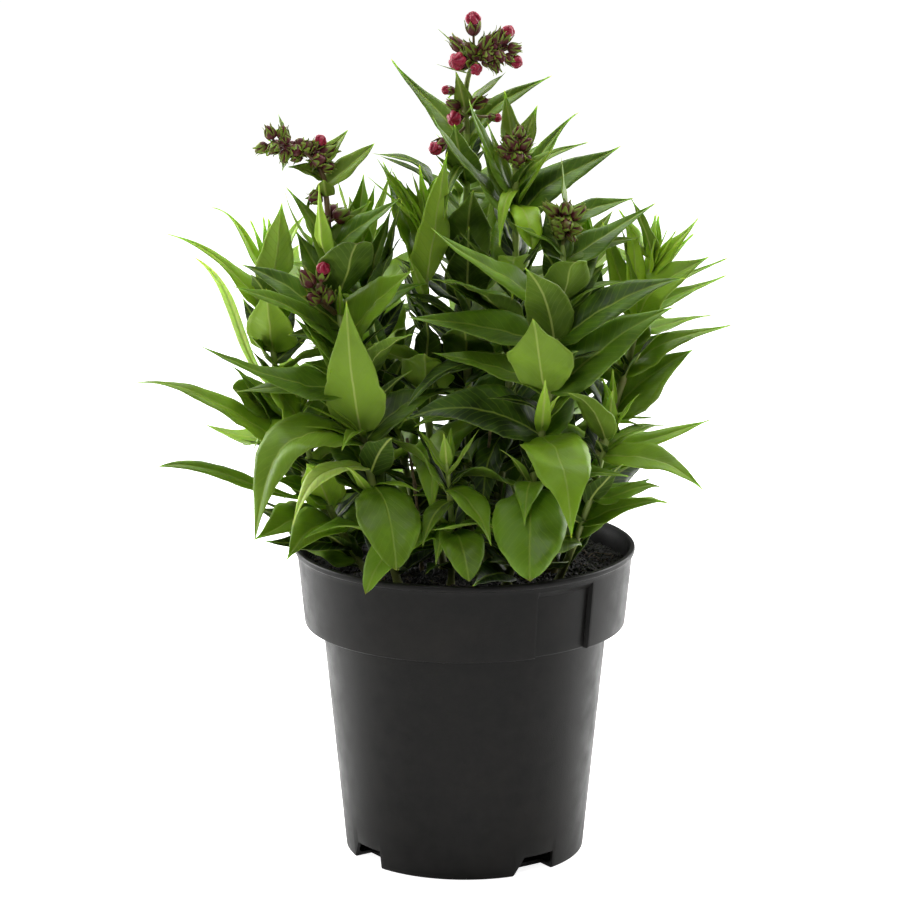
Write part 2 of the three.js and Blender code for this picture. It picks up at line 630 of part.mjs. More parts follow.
function addMesh(name, solid, colour, roughness) {
  const material = new THREE.MeshStandardMaterial({ color: colour, roughness, metalness: 0 });
  const mesh = new THREE.Mesh(toGeometry(solid), material);
  mesh.name = name;
  model.add(mesh);
}

// A turned solid from a profile of radius and height that starts and ends on the axis
function turned(profile, sides) {
  const geometry = new THREE.LatheGeometry(profile.map(([r, z]) => new THREE.Vector2(r, z)), sides);
  return toSolid(geometry.rotateX(Math.PI / 2));
}

// A block over part of a turn, between an inner and an outer radius that follow the height
function sector(from, to, inner, outer, low, high) {
  const steps = 6;
  const ringOf = (z, radius) =>
    Array.from({ length: steps + 1 }, (_, i) => {
      const angle = rad(-90 + from + ((to - from) * i) / steps);
      const r = radius(z);
      return new THREE.Vector3(r * Math.cos(angle), r * Math.sin(angle), z);
    });
  const level = (z) => [...ringOf(z, outer), ...ringOf(z, inner).reverse()];
  return skin([level(low), level(high)]);
}

// Pot
const edge = 0.8;
const beyond = 5;
const collarRadius = (z) =>
  pot.collarFootRadius +
  ((pot.collarTopRadius - pot.collarFootRadius) * (z - pot.ledgeHeight)) / (pot.height - pot.ledgeHeight);
const bodyRadius = (z) => pot.footRadius + ((pot.bodyTopRadius - pot.footRadius) * z) / pot.ledgeHeight;
const innerProfile = (gap) => [
  [0, pot.floor + gap],
  [bodyRadius(pot.floor) - pot.wall - gap, pot.floor + gap],
  [bodyRadius(pot.ledgeHeight) - pot.wall - gap, pot.ledgeHeight + pot.wall + gap],
  [collarRadius(pot.ledgeHeight) - pot.wall - gap, pot.ledgeHeight + pot.wall + gap],
];
const beadFoot = pot.height - pot.beadHeight;
const potOuter = turned(
  [
    [0, 0],
    [pot.footRadius - edge, 0],
    [pot.footRadius, edge],
    [pot.bodyTopRadius, pot.ledgeHeight],
    [pot.collarFootRadius - edge, pot.ledgeHeight],
    [pot.collarFootRadius, pot.ledgeHeight + edge],
    [collarRadius(beadFoot), beadFoot],
    [pot.rimRadius, beadFoot + edge],
    [pot.rimRadius, pot.height - edge],
    [pot.rimRadius - edge, pot.height],
    [0, pot.height],
  ],
  pot.sides,
);
const mouth = [pot.rimRadius - pot.beadWidth, pot.height + 1];
const cavity = turned(
  [...innerProfile(0), [collarRadius(beadFoot) - pot.wall, beadFoot], mouth, [0, mouth[1]]],
  pot.sides,
);
const panelTop = pot.height - panel.topBand;
const panelCut = sector(
  panel.from,
  panel.to,
  (z) => collarRadius(z) - panel.depth,
  (z) => collarRadius(z) + beyond,
  pot.ledgeHeight - 1,
  panelTop,
);
const panelBoss = (gap) =>
  sector(
    panel.from - panel.frame - gap * panel.turnPerGap,
    panel.to + panel.frame + gap * panel.turnPerGap,
    (z) => collarRadius(z) - panel.depth - pot.wall - gap,
    (z) => collarRadius(z) + beyond,
    pot.ledgeHeight - 1,
    panelTop + pot.wall + gap,
  );
function notchCut(index, gap) {
  const middle = notch.first + (360 / notch.count) * index;
  const inner = pot.footRadius - notch.reach - gap;
  const depth = pot.footRadius + beyond - inner;
  const half = notch.width / 2 + gap;
  const shape = new THREE.Shape([
    new THREE.Vector2(-half, -1),
    new THREE.Vector2(half, -1),
    new THREE.Vector2(half, notch.height + gap),
    new THREE.Vector2(-half + notch.slant, notch.height + gap),
  ]);
  const block = new THREE.ExtrudeGeometry(shape, { depth, bevelEnabled: false });
  block.rotateX(Math.PI / 2).translate(0, -inner, 0).rotateZ(rad(middle));
  return toSolid(block);
}
const notches = (gap) =>
  Array.from({ length: notch.count }, (_, i) => notchCut(i, gap)).reduce((all, one) => all.add(one));
const potSolid = mainBody(
  potOuter.subtract(panelCut).subtract(cavity.subtract(panelBoss(0))).subtract(notches(0)),
);
addMesh("pot", potSolid, colours.pot, 0.45);
place("pot", potSolid);

// Compost: the pot's inside less a gap, with a gently uneven top and a hole for each stem
const swell = (x, y) => Math.sin(x * 0.11 + 1.3) * Math.cos(y * 0.13) + 0.6 * Math.sin(x * 0.27 - y * 0.21);
const surface = (x, y) => soil.top + 0.5 * soil.relief * swell(x, y);
const soilRim = collarRadius(soil.top) - pot.wall - soil.gap;
const soilGeometry = new THREE.LatheGeometry(
  [
    ...innerProfile(soil.gap).map(([r, z]) => new THREE.Vector2(r, z)),
    ...Array.from(
      { length: soil.rings + 1 },
      (_, i) => new THREE.Vector2(soilRim * (1 - i / soil.rings), soil.top),
    ),
  ],
  soil.sides,
).rotateX(Math.PI / 2);
const soilPoints = soilGeometry.attributes.position;
for (let i = 0; i < soilPoints.count; i++) {
  const [x, y, z] = [soilPoints.getX(i), soilPoints.getY(i), soilPoints.getZ(i)];
  if (z > soil.top - 0.01) soilPoints.setZ(i, surface(x, y));
}
function holeFor(x, y, radius) {
  const high = soil.top + soil.relief + 2;
  const low = soil.top - soil.holeDepth;
  const wide = radius + soil.holeGap;
  const hole = new THREE.CylinderGeometry(wide, wide, high - low, soil.holeSides);
  return toSolid(hole.rotateX(Math.PI / 2).translate(x, y, (high + low) / 2));
}
const holes = [
  ...Object.values(stems).map((stem) => holeFor(...stem.foot, stem.thick[0])),
  ...dryStems.map((stem) => holeFor(...stem.foot, stem.radius)),
];
const soilBlock = toSolid(soilGeometry).subtract(panelBoss(soil.gap)).subtract(notches(soil.gap));
const soilSolid = mainBody(holes.reduce((body, hole) => body.subtract(hole), soilBlock));
addMesh("soil", soilSolid, colours.soil, 0.95);
place("soil", soilSolid);

// Stems, living and dry
const stemBodies = {};
for (const [name, stem] of Object.entries(stems)) {
  stemBodies[name] = stemSolid(stem);
  place(`stem_${name}`, stemBodies[name]);
}
dryStems.forEach((stem, i) => {
  const solid = stemSolid({ ...stem, thick: [stem.radius, stem.radius * 0.7], turn: 30 });
  addMesh(`dry_stem_${i + 1}`, solid, colours.dry, 0.8);
  place(`dry_stem_${i + 1}`, solid);
});

// Flower heads, with the small leaves among their buds, and the crimson petals of each
const crimson = [];
for (const [name, head] of Object.entries(heads)) {
  const course = new THREE.CatmullRomCurve3(head.course.map(vec));
  const build = (grow) => {
    const rings = Array.from({ length: stalk.steps + 1 }, (_, i) => {
      const t = i / stalk.steps;
      const radius = THREE.MathUtils.lerp(stalk.radius, stalk.tipRadius, t) + grow;
      return ringAround(course.getPoint(t), course.getTangent(t), radius, stalk.sides);
    });
    const parts = [skin(rings)];
    for (const one of head.buds) {
      parts.push(budSolid(course.getPoint(one.from), vec(one.tip), one.radius, one.open, grow));
    }
    for (const one of head.bracts) {
      const form = bladeForm(course.getPoint(one.from), vec(one.tip), one);
      const sections = one.wide > blade.small ? blade.sections : blade.smallSections;
      parts.push(bladeSolid(form, sections, grow));
    }
    return wasm.Manifold.union(parts);
  };
  const solid = mainBody(build(0).simplify(sliver));
  const grown = build(bud.gap);
  addMesh(`head_${name}`, solid, colours.head, 0.6);
  place(`head_${name}`, solid);
  for (const one of head.buds.filter((entry) => entry.open)) {
    crimson.push({ ...one, root: course.getPoint(one.from), grown });
  }
}
crimson.forEach((one, i) => {
  const petals = mainBody(petalSolid(one.root, vec(one.tip), one.radius).subtract(one.grown));
  addMesh(`petals_${i + 1}`, petals, colours.crimson, 0.5);
  place(`petals_${i + 1}`, petals);
});

// Leaves: first those of the front, then the pairs, the tufts at the tips and the small axil leaves
const turnOf = (root, tip) => THREE.MathUtils.radToDeg(Math.atan2(tip.y - root.y, tip.x - root.x));
const leaves = Object.fromEntries(Object.keys(stems).map((name) => [name, []]));
for (const [name, list] of Object.entries(frontLeaves)) {
  for (const leaf of list) {
    const root = rootOn(stems[name], leaf.z, turnOf(stemAt(stems[name], leaf.z), vec(leaf.tip)));
    const tip = growBlade(`stem_${name}`, root, vec(leaf.tip), leaf, blade.sections, frontTries);
    if (tip) leaves[name].push({ z: leaf.z, turn: turnOf(root, tip) });
  }
}
const turnBetween = (a, b) => Math.abs(((a - b + 540) % 360) - 180);

function tipAt(root, turn, slope, length) {
  const level = length * Math.cos(rad(slope));
  const offset = [level * Math.cos(rad(turn)), level * Math.sin(rad(turn)), length * Math.sin(rad(slope))];
  return root.clone().add(vec(offset));
}

Object.entries(stems).forEach(([name, stem], index) => {
  const draw = drawsFrom(7919 * (index + 3));
  const count = Math.floor((stem.top[2] - pairs.clearTop - pairs.first) / pairs.step) + 1;
  for (let i = 0; i < count; i++) {
    const z = pairs.first + pairs.step * i;
    const t = (z - pairs.first) / Math.max(1, stem.top[2] - pairs.first);
    const [a, b, u] = t < 0.5 ? [pairs.low, pairs.middle, t * 2] : [pairs.middle, pairs.high, t * 2 - 1];
    for (const half of [0, 180]) {
      const turn = stem.turn + 90 * i + half + pairs.turnSpread * (2 * draw() - 1);
      const slope = THREE.MathUtils.lerp(a.slope, b.slope, u) + pairs.slopeSpread * (2 * draw() - 1);
      const stretch = 1 + pairs.lengthSpread * (2 * draw() - 1);
      const width = THREE.MathUtils.lerp(a.width, b.width, u);
      const face = pairs.rollSpread * (2 * draw() - 1);
      const [rise, fall] = [0.1 + 0.1 * draw(), 0.02 + 0.14 * draw()];
      const root = rootOn(stem, z, turn);
      const near = leaves[name].filter((leaf) => Math.abs(leaf.z - z) < pairs.clearHeight);
      if (near.some((leaf) => turnBetween(leaf.turn, turn) < pairs.clearTurn)) continue;
      let length = THREE.MathUtils.lerp(a.length, b.length, u) * stretch;
      let tip = tipAt(root, turn, slope, length);
      while (length > pairs.shortest && Math.hypot(tip.x - bushMiddle, tip.y) > reachAt(tip.z)) {
        length -= pairs.shorter;
        tip = tipAt(root, turn, slope, length);
      }
      const look = { wide: Math.max(length * width, pairs.narrowest), rise, fall, face };
      growBlade(`stem_${name}`, root, tip, look, blade.pairSections, tries.length);
    }
    for (const half of [0, 180]) {
      const [chance, spread, size] = [draw(), draw(), draw()];
      if (chance > axil.odds) continue;
      const turn = stem.turn + 90 * i + half + axil.spread * (spread - 0.5);
      const root = rootOn(stem, z + axil.lift, turn);
      const length = axil.length * (0.7 + 0.6 * size);
      const tip = tipAt(root, turn, axil.slope, length);
      const look = { wide: length * axil.width, rise: 0, fall: 0.05 };
      growBlade(`stem_${name}`, root, tip, look, blade.smallSections, axil.tries);
    }
  }
  if (Object.values(heads).some((head) => head.stem === name)) return;
  for (let i = 0; i < tuft.count; i++) {
    for (const half of [0, 180]) {
      const turn = stem.turn + 45 + 90 * i + half;
      const root = rootOn(stem, stem.top[2] - 2 - tuft.drop * i, turn);
      const length = tuft.length * (1 + 0.35 * i) * (0.85 + 0.3 * draw());
      const tip = tipAt(root, turn, tuft.slope - tuft.splay * i, length);
      const look = { wide: length * tuft.width, rise: -0.08, fall: 0.04 };
      growBlade(`stem_${name}`, root, tip, look, blade.smallSections, tuft.tries);
    }
  }
});

// Each leafy stem is one grown piece
Object.keys(stems).forEach((name, index) => {
  const blades = placed.filter((item) => item.node === `stem_${name}` && item.rest !== item.solid);
  const joined = wasm.Manifold.union([stemBodies[name], ...blades.map((item) => item.solid)]);
  addMesh(`stem_${name}`, mainBody(joined.simplify(sliver)), colours.leaf[index % colours.leaf.length], 0.5);
});

export default model;
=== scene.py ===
import math
import random

import bmesh
import bpy
from mathutils import Matrix, Vector, noise
from mathutils.kdtree import KDTree


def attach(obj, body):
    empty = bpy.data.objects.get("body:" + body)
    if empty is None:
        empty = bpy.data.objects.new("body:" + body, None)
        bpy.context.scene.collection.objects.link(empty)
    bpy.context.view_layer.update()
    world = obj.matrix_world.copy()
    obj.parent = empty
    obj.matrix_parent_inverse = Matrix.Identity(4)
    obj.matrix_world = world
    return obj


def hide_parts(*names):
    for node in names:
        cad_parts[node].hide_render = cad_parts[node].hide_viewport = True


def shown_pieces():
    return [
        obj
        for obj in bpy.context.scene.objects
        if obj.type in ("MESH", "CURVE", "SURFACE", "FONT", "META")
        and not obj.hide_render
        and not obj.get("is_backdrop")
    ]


# A young beardtongue in bud, in a black 3 litre nursery pot. The front is towards -Y.
# Lengths in the tables are millimetres, and mm turns them into metres.
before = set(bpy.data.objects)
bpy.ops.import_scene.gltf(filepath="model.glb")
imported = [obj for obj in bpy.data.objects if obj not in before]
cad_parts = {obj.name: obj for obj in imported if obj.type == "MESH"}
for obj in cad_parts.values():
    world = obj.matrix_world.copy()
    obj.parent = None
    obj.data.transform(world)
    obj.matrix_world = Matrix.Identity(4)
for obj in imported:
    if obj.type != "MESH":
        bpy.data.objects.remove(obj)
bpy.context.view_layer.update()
mm = 0.001
up = Vector((0, 0, 1))
print("frame loaded")


def toLinear(hexColour):
    parts = [int(hexColour[i:i + 2], 16) / 255 for i in (1, 3, 5)]
    return [p / 12.92 if p <= 0.04045 else ((p + 0.055) / 1.055) ** 2.4 for p in parts] + [1.0]


# Links each input of a node to a socket, or sets it
def setInputs(tree, node, links):
    for socket, value in links.items():
        if isinstance(socket, str):
            target = next(item for item in node.inputs if item.name == socket and item.enabled)
        else:
            target = node.inputs[socket]
        if isinstance(value, bpy.types.NodeSocket):
            tree.links.new(value, target)
        else:
            target.default_value = value


# Adds a node, sets it up, links it and gives back its first output in use, or the named one
def addNode(tree, kind, settings={}, links={}, out=None, stops=()):
    node = tree.nodes.new(kind)
    for name, value in settings.items():
        setattr(node, name, value)
    setInputs(tree, node, links)
    for index, (place, colour) in enumerate(stops):
        if index < 2:
            stop = node.color_ramp.elements[index]
            stop.position = place
        else:
            stop = node.color_ramp.elements.new(place)
        stop.color = colour
    if out is not None:
        return node.outputs[out]
    return next((item for item in node.outputs if item.enabled), None)


def newMaterial(name):
    material = bpy.data.materials.new(name)
    material.use_nodes = True
    return material, material.node_tree, material.node_tree.nodes["Principled BSDF"]


# Materials

# Leaf of a border perennial: a waxy skin gives the top a soft gloss, light comes through the thin
# blade, and the midrib is a paler groove. The underside is dull and paler.
leafTop = {
    "dark": "#1f320c", "mid": "#56781b", "young": "#94b92a", "pale": "#e3ec9c", "rib": "#93a84a",
    "vein": "#7d9a2c", "blush": "#5a2f34", "tip": "#7a5a30", "roughness": 0.42, "specular": 0.22,
    "through": 0.7, "relief": -0.3 * mm,
}
leafUnder = {
    "dark": "#364c15", "mid": "#5f7a28", "young": "#9cbf3c", "pale": "#dfe8a6", "rib": "#aebb66",
    "vein": "#7a9440", "blush": "#6f4a4c", "tip": "#84653a", "roughness": 0.6, "specular": 0.12,
    "through": 0.6, "relief": 0.3 * mm,
}
# Noise scales are repeats in a metre: 60 gives clouds about 17 mm wide, and 900 a grain of about 1 mm
leafPattern = {
    "rib width": 0.75 * mm, "vein step": 5.4 * mm, "vein slant": 1.25, "vein wander": 9.0 * mm,
    "cloud": 60, "grain": 900, "depth": 0.45 * mm,
}


def leafMaterial(name, look):
    material, tree, shader = newMaterial(name)
    fromRib, alongLeaf, alongShare, across, tone, youthAndLight, blush = (
        addNode(tree, "ShaderNodeAttribute", {"attribute_name": label}, out=2)
        for label in ("fromRib", "alongLeaf", "alongShare", "across", "tone", "youthAndLight", "blush")
    )
    place = addNode(tree, "ShaderNodeTexCoord", out="Object")
    cloud = addNode(tree, "ShaderNodeTexNoise", {}, {"Vector": place, "Scale": leafPattern["cloud"], "Detail": 3.0})
    grain = addNode(tree, "ShaderNodeTexNoise", {}, {"Vector": place, "Scale": leafPattern["grain"], "Detail": 2.0})

    # Masks: midrib, side veins that run forward from it, a pale margin line that is a painted highlight along the
    # leaf's edge, and the dry point
    ribSide = addNode(tree, "ShaderNodeMath", {"operation": "ABSOLUTE"}, {0: fromRib})
    slanted = addNode(
        tree, "ShaderNodeMath", {"operation": "MULTIPLY_ADD"},
        {0: ribSide, 1: -leafPattern["vein slant"], 2: alongLeaf},
    )
    shifted = addNode(
        tree, "ShaderNodeMath", {"operation": "MULTIPLY_ADD"}, {0: cloud, 1: leafPattern["vein wander"], 2: slanted}
    )
    toVein = addNode(
        tree, "ShaderNodeMath", {"operation": "PINGPONG"}, {0: shifted, 1: leafPattern["vein step"] / 2}
    )
    edge = addNode(tree, "ShaderNodeMath", {"operation": "ABSOLUTE"}, {0: across})
    ribMask, veinMask, margin, dryPoint = (
        addNode(
            tree, "ShaderNodeMapRange", {"interpolation_type": "SMOOTHSTEP"},
            {"Value": value, "From Min": low, "From Max": high, "To Min": first, "To Max": last},
        )
        for value, low, high, first, last in (
            (ribSide, leafPattern["rib width"] * 0.25, leafPattern["rib width"] * 1.1, 1.0, 0.0),
            (toVein, 0.0, leafPattern["vein step"] * 0.16, 1.0, 0.0),
            # Pale line at the margin: a painted edge highlight
            (edge, 0.93, 1.0, 0.0, 0.2),
            (alongShare, 0.97, 1.0, 0.0, 0.6),
        )
    )

    # Colour: dark to mid green by the leaf's tone, and then each layer over the one before it. The youth layers
    # carry both the leaf's age and painted light
    # A low tone darkens the blade; for the inner leaves this is painted shade
    toned = addNode(tree, "ShaderNodeMath", {"operation": "MULTIPLY_ADD"}, {0: cloud, 1: 2.2, 2: tone})
    shade = addNode(
        tree, "ShaderNodeMapRange", {},
        {"Value": toned, "From Min": 0.8, "From Max": 1.8, "To Min": 0.0, "To Max": 1.0},
    )
    # Past full youth the pale colour comes in: a painted glow of light through a backlit blade
    paleGlow = addNode(tree, "ShaderNodeMath", {"operation": "SUBTRACT"}, {0: youthAndLight, 1: 1.0})
    veinShare = addNode(tree, "ShaderNodeMath", {"operation": "MULTIPLY"}, {0: veinMask, 1: 0.2})
    ribFade = addNode(tree, "ShaderNodeMath", {"operation": "MULTIPLY_ADD"}, {0: alongShare, 1: -0.5, 2: 0.85})
    ribShare = addNode(tree, "ShaderNodeMath", {"operation": "MULTIPLY"}, {0: ribMask, 1: ribFade})
    layers = (
        (shade, "mid"), (youthAndLight, "young"), (paleGlow, "pale"), (veinShare, "vein"), (ribShare, "rib"),
        # The margin layer paints the edge highlight in the rib colour
        (margin, "rib"), (blush, "blush"), (dryPoint, "tip"),
    )
    colour = toLinear(look["dark"])
    for share, label in layers:
        colour = addNode(
            tree, "ShaderNodeMix", {"data_type": "RGBA"}, {0: share, 6: colour, 7: toLinear(look[label])}, out=2
        )

    # Gloss, light through the blade and the relief of its veins
    gloss = addNode(
        tree, "ShaderNodeMapRange", {},
        {"Value": cloud, "From Min": 0.3, "From Max": 0.7, "To Min": look["roughness"] - 0.06,
         "To Max": look["roughness"] + 0.08},
    )
    veins = addNode(tree, "ShaderNodeMath", {"operation": "MULTIPLY_ADD"}, {0: veinMask, 1: 0.22, 2: ribMask})
    height = addNode(tree, "ShaderNodeMath", {"operation": "MULTIPLY_ADD"}, {0: grain, 1: 0.25, 2: veins})
    bump = addNode(
        tree, "ShaderNodeBump", {}, {"Height": height, "Distance": look["relief"], "Strength": 0.7}, out="Normal"
    )
    setInputs(tree, shader, {
        "Base Color": colour, "Roughness": gloss, "Specular IOR Level": look["specular"],
        "Subsurface Weight": look["through"], "Subsurface Radius": (0.7, 1.0, 0.2),
        "Subsurface Scale": leafPattern["depth"], "Normal": bump,
    })
    return material


# Young green stem: smooth, pale yellow green, browner near the compost
stemLook = {
    "low": "#7b8148", "high": "#8fa64b", "blush": "#6b4238", "roughness": 0.5, "grain": 500,
    "through": 0.15, "depth": 1.5 * mm, "relief": 0.15 * mm,
}


def stemMaterial():
    material, tree, shader = newMaterial("greenStem")
    alongShare, blush = (
        addNode(tree, "ShaderNodeAttribute", {"attribute_name": label}, out=2) for label in ("alongShare", "blush")
    )
    place = addNode(tree, "ShaderNodeTexCoord", out="Object")
    streaks = addNode(tree, "ShaderNodeMapping", {}, {"Vector": place, "Scale": (1.0, 1.0, 0.15)})
    grain = addNode(tree, "ShaderNodeTexNoise", {}, {"Vector": streaks, "Scale": stemLook["grain"], "Detail": 3.0})
    green = addNode(
        tree, "ShaderNodeMix", {"data_type": "RGBA"},
        {0: alongShare, 6: toLinear(stemLook["low"]), 7: toLinear(stemLook["high"])}, out=2,
    )
    mottled = addNode(tree, "ShaderNodeMath", {"operation": "MULTIPLY_ADD"}, {0: grain, 1: 0.5, 2: blush})
    share = addNode(
        tree, "ShaderNodeMapRange", {},
        {"Value": mottled, "From Min": 0.25, "From Max": 1.2, "To Min": 0.0, "To Max": 0.9},
    )
    blushed = addNode(
        tree, "ShaderNodeMix", {"data_type": "RGBA"}, {0: share, 6: green, 7: toLinear(stemLook["blush"])}, out=2
    )
    bump = addNode(
        tree, "ShaderNodeBump", {}, {"Height": grain, "Distance": stemLook["relief"], "Strength": 0.4}, out="Normal"
    )
    setInputs(tree, shader, {
        "Base Color": blushed, "Roughness": stemLook["roughness"], "Subsurface Weight": stemLook["through"],
        "Subsurface Radius": (0.8, 1.0, 0.3), "Subsurface Scale": stemLook["depth"], "Normal": bump,
    })
    return material


# Calyx: leathery purple brown sepals with green points and faint ribs
calyxLook = {
    "body": "#58252a", "green": "#71892a", "pale": "#a3a35a", "roughness": 0.55, "specular": 0.25, "grain": 420,
    "through": 0.1, "depth": 1.0 * mm, "relief": 0.2 * mm,
}


def calyxMaterial():
    material, tree, shader = newMaterial("purpleCalyx")
    alongBud, across, greenness = (
        addNode(tree, "ShaderNodeAttribute", {"attribute_name": label}, out=2)
        for label in ("alongBud", "acrossSepal", "greenness")
    )
    place = addNode(tree, "ShaderNodeTexCoord", out="Object")
    grain = addNode(tree, "ShaderNodeTexNoise", {}, {"Vector": place, "Scale": calyxLook["grain"], "Detail": 3.0})
    edge = addNode(tree, "ShaderNodeMath", {"operation": "ABSOLUTE"}, {0: across})
    ripe = addNode(tree, "ShaderNodeMath", {"operation": "MULTIPLY_ADD"}, {0: edge, 1: 0.35, 2: alongBud})
    spread = addNode(tree, "ShaderNodeMath", {"operation": "MULTIPLY_ADD"}, {0: grain, 1: 0.5, 2: ripe})
    lifted = addNode(tree, "ShaderNodeMath", {"operation": "MULTIPLY_ADD"}, {0: greenness, 1: 0.7, 2: spread})
    share = addNode(
        tree, "ShaderNodeMapRange", {"interpolation_type": "SMOOTHSTEP"},
        {"Value": lifted, "From Min": 1.0, "From Max": 1.45, "To Min": 0.0, "To Max": 1.0},
    )
    colour = addNode(
        tree, "ShaderNodeMix", {"data_type": "RGBA"},
        {0: share, 6: toLinear(calyxLook["body"]), 7: toLinear(calyxLook["green"])}, out=2,
    )
    margin = addNode(
        tree, "ShaderNodeMapRange", {"interpolation_type": "SMOOTHSTEP"},
        {"Value": edge, "From Min": 0.86, "From Max": 1.0, "To Min": 0.0, "To Max": 0.2},
    )
    edged = addNode(
        tree, "ShaderNodeMix", {"data_type": "RGBA"}, {0: margin, 6: colour, 7: toLinear(calyxLook["pale"])}, out=2
    )
    bump = addNode(
        tree, "ShaderNodeBump", {}, {"Height": grain, "Distance": calyxLook["relief"], "Strength": 0.4}, out="Normal"
    )
    setInputs(tree, shader, {
        "Base Color": edged, "Roughness": calyxLook["roughness"], "Specular IOR Level": calyxLook["specular"],
        "Subsurface Weight": calyxLook["through"], "Subsurface Scale": calyxLook["depth"], "Normal": bump,
    })
    return material


# Petals still folded in the bud: velvety crimson with paler streaks along them, and darker in the creases between
# the lobes, which is painted shade
petalLook = {
    "creaseShade": "#3d0412", "bright": "#8e0c2f", "pale": "#c4546e", "roughness": 0.42, "specular": 0.3, "grain": 300,
    "through": 0.25, "depth": 1.5 * mm, "relief": 0.2 * mm,
}


def petalMaterial():
    material, tree, shader = newMaterial("crimsonPetal")
    alongBud = addNode(tree, "ShaderNodeAttribute", {"attribute_name": "alongBud"}, out=2)
    crease = addNode(tree, "ShaderNodeAttribute", {"attribute_name": "acrossSepal"}, out=2)
    place = addNode(tree, "ShaderNodeTexCoord", out="Object")
    grain = addNode(tree, "ShaderNodeTexNoise", {}, {"Vector": place, "Scale": petalLook["grain"], "Detail": 4.0})
    # Low in the creases between lobes, so the dark colour there is painted shade
    mixed = addNode(tree, "ShaderNodeMath", {"operation": "MULTIPLY_ADD"}, {0: grain, 1: 0.8, 2: crease})
    share = addNode(
        tree, "ShaderNodeMapRange", {"interpolation_type": "SMOOTHSTEP"},
        {"Value": mixed, "From Min": 0.2, "From Max": 1.2, "To Min": 0.0, "To Max": 1.0},
    )
    colour = addNode(
        tree, "ShaderNodeMix", {"data_type": "RGBA"},
        {0: share, 6: toLinear(petalLook["creaseShade"]), 7: toLinear(petalLook["bright"])}, out=2,
    )
    paleness = addNode(
        tree, "ShaderNodeMapRange", {"interpolation_type": "SMOOTHSTEP"},
        {"Value": mixed, "From Min": 1.25, "From Max": 1.6, "To Min": 0.0, "To Max": 0.3},
    )
    streaked = addNode(
        tree, "ShaderNodeMix", {"data_type": "RGBA"}, {0: paleness, 6: colour, 7: toLinear(petalLook["pale"])}, out=2
    )
    footed = addNode(
        tree, "ShaderNodeMapRange", {},
        {"Value": alongBud, "From Min": 0.0, "From Max": 0.35, "To Min": 0.35, "To Max": 0.0},
    )
    finished = addNode(
        tree, "ShaderNodeMix", {"data_type": "RGBA"}, {0: footed, 6: streaked, 7: toLinear(petalLook["pale"])}, out=2
    )
    bump = addNode(
        tree, "ShaderNodeBump", {}, {"Height": grain, "Distance": petalLook["relief"], "Strength": 0.5}, out="Normal"
    )
    setInputs(tree, shader, {
        "Base Color": finished, "Roughness": petalLook["roughness"], "Specular IOR Level": petalLook["specular"],
        "Subsurface Weight": petalLook["through"], "Subsurface Radius": (1.0, 0.3, 0.4),
        "Subsurface Scale": petalLook["depth"], "Normal": bump,
    })
    return material


# Moulded polypropylene, recycled black: satin, faintly mottled, dusty in places
potLook = {
    "dark": "#0e0e0d", "mid": "#181716", "dust": "#26231f", "roughness": 0.36, "specular": 0.13, "clouds": 14,
    "mottle": 90, "grain": 1500, "relief": 0.12 * mm,
}


def potMaterial():
    material, tree, shader = newMaterial("blackPolypropylene")
    place = addNode(tree, "ShaderNodeTexCoord", out="Object")
    mottle = addNode(tree, "ShaderNodeTexNoise", {}, {"Vector": place, "Scale": potLook["mottle"], "Detail": 5.0})
    grain = addNode(tree, "ShaderNodeTexNoise", {}, {"Vector": place, "Scale": potLook["grain"], "Detail": 2.0})
    wide = addNode(tree, "ShaderNodeTexNoise", {}, {"Vector": place, "Scale": potLook["clouds"], "Detail": 3.0})
    colour = addNode(
        tree, "ShaderNodeValToRGB", {}, {"Fac": mottle},
        stops=((0.3, toLinear(potLook["dark"])), (0.72, toLinear(potLook["mid"]))),
    )
    dusty = addNode(
        tree, "ShaderNodeMapRange", {"interpolation_type": "SMOOTHSTEP"},
        {"Value": wide, "From Min": 0.5, "From Max": 0.8, "To Min": 0.0, "To Max": 0.3},
    )
    dusted = addNode(
        tree, "ShaderNodeMix", {"data_type": "RGBA"}, {0: dusty, 6: colour, 7: toLinear(potLook["dust"])}, out=2
    )
    gloss = addNode(
        tree, "ShaderNodeMapRange", {},
        {"Value": mottle, "From Min": 0.3, "From Max": 0.7, "To Min": potLook["roughness"] - 0.05,
         "To Max": potLook["roughness"] + 0.1},
    )
    height = addNode(tree, "ShaderNodeMath", {"operation": "MULTIPLY_ADD"}, {0: mottle, 1: 0.6, 2: grain})
    bump = addNode(
        tree, "ShaderNodeBump", {}, {"Height": height, "Distance": potLook["relief"], "Strength": 0.5}, out="Normal"
    )
    setInputs(tree, shader, {
        "Base Color": dusted, "Roughness": gloss, "Specular IOR Level": potLook["specular"], "Normal": bump,
    })
    return material


# Peat compost: near black crumbs, damp, with brown fibre among them
soilLook = {
    "dark": "#070605", "brown": "#1c1711", "fibre": "#5b4730", "roughness": 0.7, "patch": 260, "fibre patch": 500,
    "grit": 1400, "relief": 0.4 * mm,
}


# Also used for the fibres and the dead stems, which are as dull
def soilMaterial(name, dark, brown, patch):
    material, tree, shader = newMaterial(name)
    place = addNode(tree, "ShaderNodeTexCoord", out="Object")
    crumbs = addNode(tree, "ShaderNodeTexNoise", {}, {"Vector": place, "Scale": patch, "Detail": 6.0})
    fine = addNode(tree, "ShaderNodeTexNoise", {}, {"Vector": place, "Scale": soilLook["grit"], "Detail": 3.0})
    colour = addNode(
        tree, "ShaderNodeValToRGB", {}, {"Fac": crumbs}, stops=((0.38, toLinear(dark)), (0.7, toLinear(brown)))
    )
    bump = addNode(
        tree, "ShaderNodeBump", {}, {"Height": fine, "Distance": soilLook["relief"], "Strength": 0.8}, out="Normal"
    )
    setInputs(tree, shader, {"Base Color": colour, "Roughness": soilLook["roughness"], "Normal": bump})
    return material


# Dead stem: dry, papery, pale brown with darker specks
dryLook = {"dark": "#3c2f20", "pale": "#8a7650", "patch": 180}

